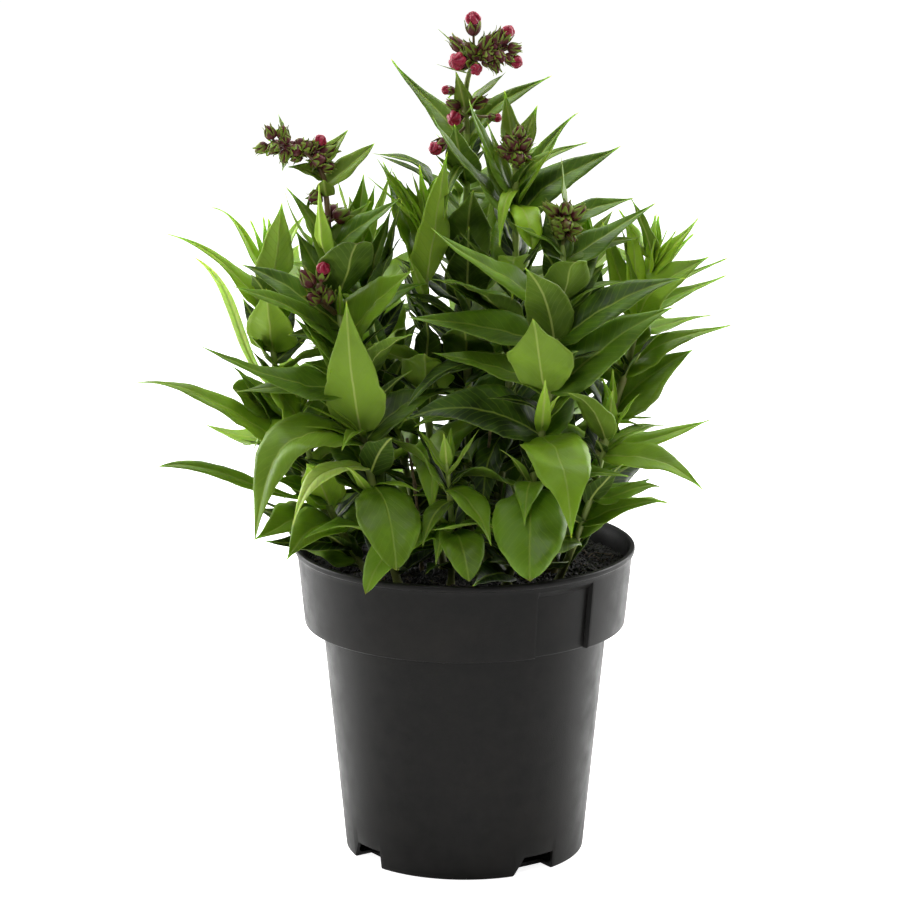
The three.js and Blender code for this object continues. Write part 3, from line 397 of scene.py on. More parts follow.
leafSkin = leafMaterial("waxyLeafTop", leafTop)
underSkin = leafMaterial("dullLeafUnderside", leafUnder)
stemSkin = stemMaterial()
calyxSkin = calyxMaterial()
petalSkin = petalMaterial()
potSkin = potMaterial()
peat = soilMaterial("dampPeat", soilLook["dark"], soilLook["brown"], soilLook["patch"])
fibreSkin = soilMaterial("coirFibre", soilLook["brown"], soilLook["fibre"], soilLook["fibre patch"])
drySkin = soilMaterial("dryStem", dryLook["dark"], dryLook["pale"], dryLook["patch"])
print("materials made")


# Geometry trees

# A new tree with its named inputs, and the node that gives them
def newTree(name, inputs):
    tree = bpy.data.node_groups.new(name, "GeometryNodeTree")
    tree.interface.new_socket("Geometry", in_out="INPUT", socket_type="NodeSocketGeometry")
    for label, kind in inputs.items():
        tree.interface.new_socket(label, in_out="INPUT", socket_type=kind)
    tree.interface.new_socket("Geometry", in_out="OUTPUT", socket_type="NodeSocketGeometry")
    given = tree.nodes.new("NodeGroupInput")
    return tree, given.outputs


# The last steps of each tree: real geometry, smooth, with its material
def endTree(tree, shape, material):
    smooth = addNode(tree, "GeometryNodeSetShadeSmooth", {}, {"Geometry": shape})
    real = addNode(tree, "GeometryNodeRealizeInstances", {}, {"Geometry": smooth})
    painted = addNode(tree, "GeometryNodeSetMaterial", {}, {"Geometry": real, "Material": material})
    end = tree.nodes.new("NodeGroupOutput")
    tree.links.new(painted, end.inputs["Geometry"])


# Puts a mesh through a tree, or its other modifiers, and keeps the result as a plain mesh
def grown(piece, tree=None, values={}):
    if tree:
        modifier = piece.modifiers.new(tree.name, "NODES")
        modifier.node_group = tree
        for item in tree.interface.items_tree:
            if item.in_out == "INPUT" and item.name in values:
                modifier[item.identifier] = values[item.name]
    graph = bpy.context.evaluated_depsgraph_get()
    graph.update()
    mesh = bpy.data.meshes.new_from_object(
        piece.evaluated_get(graph), preserve_all_data_layers=True, depsgraph=graph
    )
    piece.modifiers.clear()
    piece.data = mesh
    return piece


def newPiece(name, mesh):
    piece = bpy.data.objects.new(name, mesh)
    bpy.context.scene.collection.objects.link(piece)
    return piece


def newMesh(name, points, faces, edges=()):
    mesh = bpy.data.meshes.new(name)
    mesh.from_pydata([tuple(point) for point in points], edges, faces)
    return mesh


# Open lines of points with values at each point, as a mesh of edges
def lineMesh(name, lines, values):
    points, edges = [], []
    for line in lines:
        first = len(points)
        points += line
        edges += [(first + i, first + i + 1) for i in range(len(line) - 1)]
    mesh = newMesh(name, points, (), edges)
    for label, (kind, numbers) in values.items():
        layer = mesh.attributes.new(label, kind, "POINT")
        if kind == "FLOAT":
            layer.data.foreach_set("value", numbers)
        else:
            layer.data.foreach_set("vector", [part for vector in numbers for part in vector])
    return mesh


# Leaf blades: a line swept along each course, then set out from it by the course's own frame,
# with its folded, waved edges
leafForm = dict(notches=130, buckles=75, foldPower=1.15, curlPower=4.0, slant=1.3)


def leafTree():
    tree, given = newTree(
        "leafBlades",
        {"Steps across": "NodeSocketInt", "Wave height": "NodeSocketFloat", "Waves": "NodeSocketFloat",
         "Unevenness": "NodeSocketFloat", "Skin": "NodeSocketMaterial"},
    )
    vectors = {
        label: addNode(tree, "GeometryNodeInputNamedAttribute", {"data_type": "FLOAT_VECTOR"}, {"Name": label})
        for label in ("coursePoint", "sideWay", "faceWay")
    }
    floats = {
        label: addNode(tree, "GeometryNodeInputNamedAttribute", {"data_type": "FLOAT"}, {"Name": label})
        for label in ("across", "alongShare", "halfWidth", "foldShare", "waveStart", "bulge", "curl")
    }
    course = addNode(tree, "GeometryNodeMeshToCurve", {}, {"Mesh": given["Geometry"]})
    line = addNode(tree, "GeometryNodeCurvePrimitiveLine", {}, {"Start": (-1.0, 0.0, 0.0), "End": (1.0, 0.0, 0.0)})
    profile = addNode(tree, "GeometryNodeResampleCurve", {}, {"Curve": line, "Count": given["Steps across"]})
    place = addNode(tree, "GeometryNodeInputPosition")
    reach = addNode(tree, "ShaderNodeSeparateXYZ", {}, {0: place}, out=0)
    marked = addNode(
        tree, "GeometryNodeStoreNamedAttribute", {"data_type": "FLOAT", "domain": "POINT"},
        {"Geometry": profile, "Name": "across", "Value": reach},
    )
    sheet = addNode(tree, "GeometryNodeCurveToMesh", {}, {"Curve": course, "Profile Curve": marked})

    edge = addNode(tree, "ShaderNodeMath", {"operation": "ABSOLUTE"}, {0: floats["across"]})
    notched = addNode(
        tree, "ShaderNodeTexNoise", {},
        {"Vector": vectors["coursePoint"], "Scale": leafForm["notches"], "Detail": 3.0},
    )
    ragged = addNode(
        tree, "ShaderNodeMapRange", {},
        {"Value": notched, "From Min": 0.3, "From Max": 0.7, "To Min": 0.93, "To Max": 1.05},
    )
    breadth = addNode(tree, "ShaderNodeMath", {"operation": "MULTIPLY"}, {0: floats["halfWidth"], 1: ragged})
    out = addNode(tree, "ShaderNodeMath", {"operation": "MULTIPLY"}, {0: floats["across"], 1: breadth})
    sideStep = addNode(tree, "ShaderNodeVectorMath", {"operation": "SCALE"}, {0: vectors["sideWay"], "Scale": out})
    shifted = addNode(tree, "ShaderNodeVectorMath", {"operation": "ADD"}, {0: vectors["coursePoint"], 1: sideStep})
    bowl = addNode(tree, "ShaderNodeMath", {"operation": "POWER"}, {0: edge, 1: leafForm["foldPower"]})
    folded = addNode(tree, "ShaderNodeMath", {"operation": "MULTIPLY"}, {0: bowl, 1: floats["foldShare"]})
    halfTurn = addNode(tree, "ShaderNodeMath", {"operation": "MULTIPLY"}, {0: edge, 1: math.pi})
    dome = addNode(tree, "ShaderNodeMath", {"operation": "SINE"}, {0: halfTurn})
    domed = addNode(tree, "ShaderNodeMath", {"operation": "MULTIPLY_ADD"}, {0: dome, 1: floats["bulge"], 2: folded})
    rim = addNode(tree, "ShaderNodeMath", {"operation": "POWER"}, {0: edge, 1: leafForm["curlPower"]})
    curled = addNode(tree, "ShaderNodeMath", {"operation": "MULTIPLY_ADD"}, {0: rim, 1: floats["curl"], 2: domed})
    turns = addNode(
        tree, "ShaderNodeMath", {"operation": "MULTIPLY_ADD"},
        {0: floats["alongShare"], 1: given["Waves"], 2: floats["waveStart"]},
    )
    sided = addNode(
        tree, "ShaderNodeMath", {"operation": "MULTIPLY_ADD"}, {0: floats["across"], 1: leafForm["slant"], 2: turns}
    )
    wave = addNode(tree, "ShaderNodeMath", {"operation": "SINE"}, {0: sided})
    waveEdge = addNode(tree, "ShaderNodeMath", {"operation": "MULTIPLY"}, {0: wave, 1: bowl})
    waved = addNode(
        tree, "ShaderNodeMath", {"operation": "MULTIPLY_ADD"}, {0: waveEdge, 1: given["Wave height"], 2: curled}
    )
    buckles = addNode(
        tree, "ShaderNodeTexNoise", {}, {"Vector": shifted, "Scale": leafForm["buckles"], "Detail": 2.0}
    )
    buckle = addNode(tree, "ShaderNodeMath", {"operation": "SUBTRACT"}, {0: buckles, 1: 0.5})
    uneven = addNode(
        tree, "ShaderNodeMath", {"operation": "MULTIPLY_ADD"}, {0: buckle, 1: given["Unevenness"], 2: waved}
    )
    lift = addNode(tree, "ShaderNodeMath", {"operation": "MULTIPLY"}, {0: uneven, 1: floats["halfWidth"]})
    faceStep = addNode(tree, "ShaderNodeVectorMath", {"operation": "SCALE"}, {0: vectors["faceWay"], "Scale": lift})
    final = addNode(tree, "ShaderNodeVectorMath", {"operation": "ADD"}, {0: shifted, 1: faceStep})
    shaped = addNode(tree, "GeometryNodeSetPosition", {}, {"Geometry": sheet, "Position": final})
    ribbed = addNode(
        tree, "GeometryNodeStoreNamedAttribute", {"data_type": "FLOAT", "domain": "POINT"},
        {"Geometry": shaped, "Name": "fromRib", "Value": out},
    )
    endTree(tree, ribbed, given["Skin"])
    return tree


# Stems, stalks and fibres: a ring swept along each line, as thick as its points say
def stalkTree():
    tree, given = newTree("roundStalks", {"Sides": "NodeSocketInt", "Skin": "NodeSocketMaterial"})
    course = addNode(tree, "GeometryNodeMeshToCurve", {}, {"Mesh": given["Geometry"]})
    thickness = addNode(tree, "GeometryNodeInputNamedAttribute", {"data_type": "FLOAT"}, {"Name": "thickness"})
    ring = addNode(tree, "GeometryNodeCurvePrimitiveCircle", {}, {"Resolution": given["Sides"], "Radius": 1.0})
    tube = addNode(
        tree, "GeometryNodeCurveToMesh", {},
        {"Curve": course, "Profile Curve": ring, "Scale": thickness, "Fill Caps": True},
    )
    endTree(tree, tube, given["Skin"])
    return tree


# Buds: one shape stood on each point, stretched along the bud's way and spun at random
def budTree():
    tree, given = newTree(
        "standingBuds", {"Bud": "NodeSocketObject", "Seed": "NodeSocketInt", "Skin": "NodeSocketMaterial"}
    )
    way = addNode(tree, "GeometryNodeInputNamedAttribute", {"data_type": "FLOAT_VECTOR"}, {"Name": "way"})
    radius = addNode(tree, "GeometryNodeInputNamedAttribute", {"data_type": "FLOAT"}, {"Name": "budRadius"})
    length = addNode(tree, "ShaderNodeVectorMath", {"operation": "LENGTH"}, {0: way}, out="Value")
    shape = addNode(tree, "GeometryNodeObjectInfo", {}, {"Object": given["Bud"]}, out="Geometry")
    stand = addNode(tree, "FunctionNodeAlignRotationToVector", {"axis": "Z"}, {"Vector": way})
    turn = addNode(
        tree, "FunctionNodeRandomValue", {"data_type": "FLOAT"}, {"Min": 0.0, "Max": math.tau, "Seed": given["Seed"]}
    )
    spin = addNode(tree, "FunctionNodeAxisAngleToRotation", {}, {"Axis": (0.0, 0.0, 1.0), "Angle": turn})
    both = addNode(
        tree, "FunctionNodeRotateRotation", {"rotation_space": "LOCAL"}, {"Rotation": stand, "Rotate By": spin}
    )
    size = addNode(tree, "ShaderNodeCombineXYZ", {}, {0: radius, 1: radius, 2: length})
    placed = addNode(
        tree, "GeometryNodeInstanceOnPoints", {},
        {"Points": given["Geometry"], "Instance": shape, "Rotation": both, "Scale": size},
    )
    endTree(tree, placed, given["Skin"])
    return tree


# Crumbs: rough little lumps scattered over the compost
def crumbTree():
    tree, given = newTree(
        "compostCrumbs",
        {"Crumbs per m2": "NodeSocketFloat", "Smallest": "NodeSocketFloat", "Largest": "NodeSocketFloat",
         "Seed": "NodeSocketInt", "Skin": "NodeSocketMaterial"},
    )
    points = addNode(
        tree, "GeometryNodeDistributePointsOnFaces", {"distribute_method": "RANDOM"},
        {"Mesh": given["Geometry"], "Density": given["Crumbs per m2"], "Seed": given["Seed"]},
    )
    lump = addNode(tree, "GeometryNodeMeshIcoSphere", {}, {"Radius": 1.0, "Subdivisions": 1})
    size = addNode(
        tree, "FunctionNodeRandomValue", {"data_type": "FLOAT"},
        {"Min": given["Smallest"], "Max": given["Largest"], "Seed": given["Seed"]},
    )
    flat = addNode(
        tree, "FunctionNodeRandomValue", {"data_type": "FLOAT_VECTOR"},
        {"Min": (0.7, 0.7, 0.4), "Max": (1.5, 1.1, 0.9), "Seed": 4},
    )
    scale = addNode(tree, "ShaderNodeVectorMath", {"operation": "SCALE"}, {0: flat, "Scale": size})
    turn = addNode(
        tree, "FunctionNodeRandomValue", {"data_type": "FLOAT_VECTOR"},
        {"Min": (0.0, 0.0, 0.0), "Max": (math.tau, math.tau, math.tau), "Seed": 9},
    )
    placed = addNode(
        tree, "GeometryNodeInstanceOnPoints", {},
        {"Points": points, "Instance": lump, "Scale": scale, "Rotation": turn},
    )
    real = addNode(tree, "GeometryNodeRealizeInstances", {}, {"Geometry": placed})
    rough = addNode(tree, "ShaderNodeTexNoise", {}, {"Scale": 900.0, "Detail": 2.0}, out="Color")
    centred = addNode(tree, "ShaderNodeVectorMath", {"operation": "SUBTRACT"}, {0: rough, 1: (0.5, 0.5, 0.5)})
    shift = addNode(tree, "ShaderNodeVectorMath", {"operation": "SCALE"}, {0: centred, "Scale": 1.1 * mm})
    broken = addNode(tree, "GeometryNodeSetPosition", {}, {"Geometry": real, "Offset": shift})
    endTree(tree, broken, given["Skin"])
    return tree


leafBlades = leafTree()
roundStalks = stalkTree()
standingBuds = budTree()
compostCrumbs = crumbTree()
print("geometry trees built")


# Joins pieces into the first of them
def joined(name, parts):
    first = parts[0]
    if len(parts) > 1:
        with bpy.context.temp_override(
            active_object=first, object=first, selected_objects=parts, selected_editable_objects=parts
        ):
            bpy.ops.object.join()
    first.name = name
    first.data.name = name
    return first


# Every piece rides on the one body, and stands for its solid
def settle(piece, slot, *nodes):
    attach(piece, "root")
    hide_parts(*nodes)


# Stems, as they stand in the compost: foot and bow (x, y), top, radius at foot and top, and the
# turn of the first leaf pair
stems = dict(
    left=dict(foot=(-36, -48), bow=(-60, -74), top=(-74, -24, 352), thick=(2.6, 1.9), turn=38),
    right=dict(foot=(22, -48), bow=(46, -78), top=(53, -40, 350), thick=(2.7, 1.9), turn=62),
    centre=dict(foot=(4, 14), bow=(0, 8), top=(1, 8, 404), thick=(2.7, 1.9), turn=10),
    rose=dict(foot=(12, -6), bow=(30, -26), top=(27, -22, 389), thick=(2.6, 1.8), turn=50),
    farRight=dict(foot=(48, -14), bow=(84, -38), top=(104, -4, 342), thick=(2.8, 1.5), turn=25),
    farLeft=dict(foot=(-58, -4), bow=(-118, -10), top=(-104, -2, 338), thick=(2.6, 1.5), turn=70),
    midLeft=dict(foot=(-22, 18), bow=(-42, 28), top=(-62, 26, 345), thick=(2.5, 1.4), turn=15),
    inner=dict(foot=(-12, -6), bow=(-26, -4), top=(-20, -2, 366), thick=(2.5, 1.5), turn=80),
    lowLeft=dict(foot=(-52, -28), bow=(-82, -50), top=(-92, -32, 262), thick=(2.4, 1.4), turn=40),
    lowRight=dict(foot=(50, -40), bow=(68, -58), top=(78, -48, 252), thick=(2.4, 1.4), turn=55),
    lowFront=dict(foot=(-8, -46), bow=(-6, -64), top=(-10, -66, 236), thick=(2.2, 1.3), turn=30),
    backLeft=dict(foot=(-40, 40), bow=(-62, 66), top=(-66, 68, 330), thick=(2.5, 1.4), turn=65),
    back=dict(foot=(6, 48), bow=(12, 72), top=(8, 62, 362), thick=(2.6, 1.5), turn=20),
    backRight=dict(foot=(44, 36), bow=(70, 62), top=(68, 52, 336), thick=(2.5, 1.4), turn=48),
)

# The leaves that make the plant's outline from the front: height of the root, tip, width, and how far
# the middle of the course rises and its last third falls, as shares of the length. end is where the
# visible blade's tip lies, and seat the height of its root, where they aren't the solid's.
# A youth or tone given to a leaf is partly its age and colour and partly painted light and shade: youth past 1
# paints light glowing through a backlit leaf, a raised youth paints a sheen, and a low youth or tone paints shade
frontLeaves = dict(
    left=[
        dict(z=222, tip=(-37, -102, 186), wide=35, rise=0.26, fall=0.26, fold=0.1, round=True),
        dict(z=250, tip=(-63, -87, 329), wide=33, rise=-0.1, fall=-0.06, fold=0.12, youthAndLight=0.35),
        dict(z=244, tip=(-112, -98, 198), fold=0.16, face=20, wide=33, youthAndLight=0.3, end=(-113, -98, 198), rise=0.63,
             fall=0.36),
        dict(z=274, tip=(-141, -75, 304), face=28, shoulder=0.3, wide=30, end=(-141, -75, 304), rise=-0.11,
             fall=-0.08),
        dict(z=306, tip=(-120, -42, 344), face=38, wide=24, youthAndLight=0, end=(-121, -42, 341), rise=0.02, fall=0.08),
        dict(z=298, tip=(-28, -60, 341), wide=34, rise=0.06, fall=0.04, face=48, youthAndLight=0.3),
        dict(z=290, tip=(-123, -84, 331), wide=23, face=30, end=(-123, -84, 338), rise=0.15, fall=0.04),
        dict(z=322, tip=(-57, -75, 357), wide=30, rise=-0.1, fall=0.1, fold=0.4, round=True),
        dict(z=342, tip=(-80, -58, 388), fold=0.4, face=30, youthAndLight=0.8, wide=15, end=(-78, -58, 387), rise=-0.42,
             fall=-0.2),
        dict(z=344, tip=(-35, -40, 376), wide=18, rise=0.05, fall=0, face=40, youthAndLight=0.0),
        dict(z=196, tip=(-98, -16, 182), wide=24, rise=0.08, fall=0.04, face=20, youthAndLight=0.1),
    ],
    right=[
        dict(z=222, tip=(34, -105, 181), wide=41, rise=0.24, fall=0.26, fold=0.06, round=True),
        dict(z=224, tip=(31, -97, 209), wide=17, rise=0.3, fall=0.3, fold=0.15),
        dict(z=250, tip=(56, -110, 205), wide=37, rise=0.34, fall=0.34, fold=0.06, youthAndLight=0.45),
        dict(z=250, tip=(-33, -75, 262), wide=32, rise=0.16, fall=0.2, face=44, youthAndLight=0, tone=0),
        dict(z=274, tip=(35, -97, 321), wide=36, rise=-0.2, fall=0.02, fold=0.12, round=True, shoulder=0.6,
             youthAndLight=0.35),
        dict(z=274, tip=(113, -52, 319), wide=30, rise=0.02, fall=0.1, face=42),
        dict(z=298, tip=(-32, -70, 317), wide=24, rise=0.06, fall=0.02, face=34),
        dict(z=300, tip=(118, -60, 336), wide=25, rise=0.06, fall=0.12, face=40),
        dict(z=313, tip=(-19, -75, 366), wide=22, rise=0.06, fall=-0.04, face=30),
        dict(z=320, tip=(58, -72, 347), wide=28, rise=-0.1, fall=0.2, fold=0.3, round=True),
        dict(z=328, tip=(103, -28, 373), seat=358, wide=13, face=36, end=(91, -28, 374), rise=0.2, fall=0.07),
        dict(z=345, tip=(24, -56, 366), wide=12, rise=0.1, fall=0, face=20),
        dict(z=340, tip=(91, -12, 378), wide=17, shoulder=0.35, face=34, end=(104, -12, 369), rise=0.02, fall=0.02),
    ],
    centre=[
        dict(z=286, tip=(-34, -24, 316), wide=30, rise=0.08, fall=0.06, face=30),
        dict(z=262, tip=(40, -14, 300), wide=30, rise=0.06, fall=0.06, face=30),
        dict(z=392, tip=(-42, 40, 444), face=34, wide=15, shoulder=0.35, end=(-41, 40, 442), rise=0.12, fall=-0.04),
        dict(z=396, tip=(48, 22, 438), face=34, wide=13, end=(48, 22, 434), rise=0.22, fall=0.08),
        dict(z=372, tip=(64, 24, 418), face=36, wide=15, end=(63, 24, 414), rise=-0.36, fall=0.01),
        dict(z=376, tip=(-6, -26, 414), wide=20, rise=0, fall=0, face=10, fold=0.3),
    ],
    rose=[
        dict(z=352, tip=(-18, -42, 421), wide=24, rise=0.06, fall=-0.06, face=26),
        dict(z=364, tip=(2, -27, 428), wide=20, rise=0.06, fall=-0.06, face=30),
        dict(z=356, tip=(86, -8, 402), face=40, wide=22, end=(85, -8, 400), rise=0.23, fall=0.02),
        dict(z=366, tip=(51, -34, 412), face=24, wide=15, youthAndLight=0.5, end=(51, -34, 413), rise=0.04, fall=-0.07),
    ],
    farRight=[
        dict(z=240, tip=(70, -47, 265), wide=24, rise=0, fall=0, face=20),
        dict(z=236, tip=(137, 0, 247), face=30, wide=14, youthAndLight=0.6, end=(137, 0, 247), rise=-0.09, fall=-0.05),
        dict(z=252, tip=(126, -10, 290), face=46, wide=30, shoulder=0.6, end=(126, -10, 288), rise=0.12, fall=0.05),
        dict(z=274, tip=(147, 0, 299), face=34, wide=22, shoulder=0.25, end=(148, 0, 299), rise=0.21, fall=0.05),
        dict(z=298, tip=(138, 20, 304), wide=15, shoulder=0.15, face=30, end=(138, 20, 301), rise=-0.01, fall=0.05),
        dict(z=298, tip=(133, -22, 342), face=44, wide=27, end=(133, -22, 342), rise=0.26, fall=0.1),
        dict(z=308, tip=(146, 12, 326), wide=14, shoulder=0.3, face=24, end=(145, 12, 325), rise=0.06, fall=-0.01),
        dict(z=282, tip=(82, -16, 365), seat=304, wide=14, face=55, youthAndLight=0.8, end=(83, -16, 367), rise=-0.01,
             fall=0.16),
        dict(z=326, tip=(127, -10, 361), wide=14, rise=0.06, fall=-0.04, face=30, youthAndLight=0.7),
        dict(z=328, tip=(104, -8, 364), wide=12, rise=0, fall=0, youthAndLight=0.9),
    ],
    farLeft=[
        # This leaf's youth past 1 paints the glow of light coming through it from behind
        dict(z=320, tip=(-99, -22, 371), rise=-0.06, fall=0.02, face=10, wide=23, youthAndLight=1.12),
        dict(z=284, tip=(-102, -47, 328), wide=30, rise=-0.06, fall=0, face=10, youthAndLight=0.6),
        dict(z=302, tip=(-163, -20, 353), face=36, youthAndLight=0.7, shoulder=0.3, wide=19, end=(-163, -20, 353), rise=0.1,
             fall=0.17),
        dict(z=328, tip=(-139, 8, 363), face=20, youthAndLight=0.8, wide=9, shoulder=0.4, end=(-140, 8, 363), rise=-0.14,
             fall=0.28),
        dict(z=262, tip=(-148, 8, 342), wide=6, face=70, youthAndLight=1.75, peak=0.5, end=(-150, 8, 336), rise=-0.17,
             fall=0.19),
        dict(z=234, tip=(-128, -34, 284), wide=30, rise=0.1, fall=0.06, face=30),
    ],
    lowLeft=[
        dict(z=238, tip=(-180, -50, 279), face=22, shoulder=0.42, wide=27, end=(-180, -50, 278), rise=-0.04,
             fall=0.16),
        dict(z=210, tip=(-166, -50, 230), peak=0.62, wide=12, face=32, end=(-167, -50, 230), rise=-0.1, fall=0.15),
        dict(z=204, tip=(-86, -80, 236), rise=0.06, fall=0.1, face=-30, youthAndLight=0.9, wide=24, end=(-85, -80, 239)),
        dict(z=194, tip=(-96, -88, 196), wide=27, rise=0.24, fall=0.16, face=20),
        dict(z=252, tip=(-102, -50, 286), rise=-0.04, fall=0.04, fold=0.35, youthAndLight=0.6, wide=30, round=True, face=60,
             end=(-107, -50, 282)),
    ],
    lowRight=[
        dict(z=236, tip=(128, -72, 222), face=34, youthAndLight=0.4, wide=20, end=(128, -72, 222), rise=0.16, fall=0.2),
        dict(z=214, tip=(110, -38, 219), face=30, wide=13, end=(110, -38, 215), rise=-0.14, fall=0.21),
        dict(z=198, tip=(110, -62, 216), face=34, wide=15, end=(109, -62, 214), rise=0.06, fall=0.12),
    ],
    inner=[
        dict(z=330, tip=(-45, -2, 391), wide=24, rise=-0.04, fall=0, face=30),
        dict(z=262, tip=(-22, -44, 292), wide=30, rise=0.06, fall=0.06, face=10),
        dict(z=322, tip=(-10, -40, 404), rise=-0.04, fall=0, face=20, youthAndLight=0.75, wide=24, end=(-10, -40, 402)),
        dict(z=350, tip=(-52, -8, 394), face=20, seat=366, wide=12, youthAndLight=0.05, end=(-51, -8, 396), rise=0.52,
             fall=0.21),
        dict(z=236, tip=(-18, -52, 200), wide=22, rise=0.3, fall=0.3, face=30),
    ],
    midLeft=[
        dict(z=318, tip=(-98, -8, 378), face=30, youthAndLight=0.3, wide=16, end=(-98, -8, 378), rise=-0.12, fall=-0.22),
        dict(z=322, tip=(-42, 4, 388), wide=24, rise=0, fall=0, face=36),
        dict(z=330, tip=(-66, 10, 384), wide=20, rise=0, fall=0, face=30),
    ],
    lowFront=[
        dict(z=196, tip=(2, -101, 180), wide=24, rise=0.3, fall=0.2, round=True),
        dict(z=192, tip=(-48, -104, 172), wide=20, rise=0.34, fall=0.34, round=True, face=34),
        dict(z=222, tip=(14, -90, 196), wide=20, rise=0.2, fall=0.2),
    ],
)

# Leaf pairs up each stem, crossed: first height and step, how far the draws spread, the room that a
# pair leaves to a placed leaf and to the tip, and the leaves at the foot, the middle and the top
pairs = dict(
    first=190, step=27, turnSpread=15, slopeSpread=9, lengthSpread=0.14, rollSpread=30, clearHeight=13,
    clearTurn=52, clearTop=6, shortest=24, shorter=4, narrowest=9,
    low=dict(length=70, slope=6, width=0.4),
    middle=dict(length=80, slope=28, width=0.38),
    high=dict(length=50, slope=56, width=0.36),
)
# Young leaves at a stem's tip, and small ones where a leaf pair meets the stem
tuft = dict(length=24, width=0.34, slope=68, splay=12, count=2, drop=5)
axil = dict(length=24, width=0.34, slope=50, lift=3, odds=0.14, spread=50)
bushMiddle = -10  # x of the bush's axis
# Height, and the bush's radius there
outline = ((165, 112), (215, 138), (290, 146), (340, 122), (380, 76), (415, 44), (470, 10))
# The bends that the solid's leaf may have: degrees sideways and up, and share of the length
tries = [
    (0, 0, 1), (7, 0, 1), (-7, 0, 1), (0, 8, 1), (0, -8, 1), (14, 6, 0.96), (-14, 6, 0.96), (14, -8, 0.94),
    (-14, -8, 0.94), (24, 0, 0.9), (-24, 0, 0.9), (0, 18, 0.9), (24, 16, 0.84), (-24, 16, 0.84), (36, 6, 0.78),
    (-36, 6, 0.78), (0, 30, 0.72), (20, -16, 0.7), (-20, -16, 0.7), (48, 12, 0.62), (-48, 12, 0.62),
    (0, 10, 0.52),
]
soilTop = 162
sunk = 0.25  # how far a leaf's root lies past the stem's axis, as a share of the radius

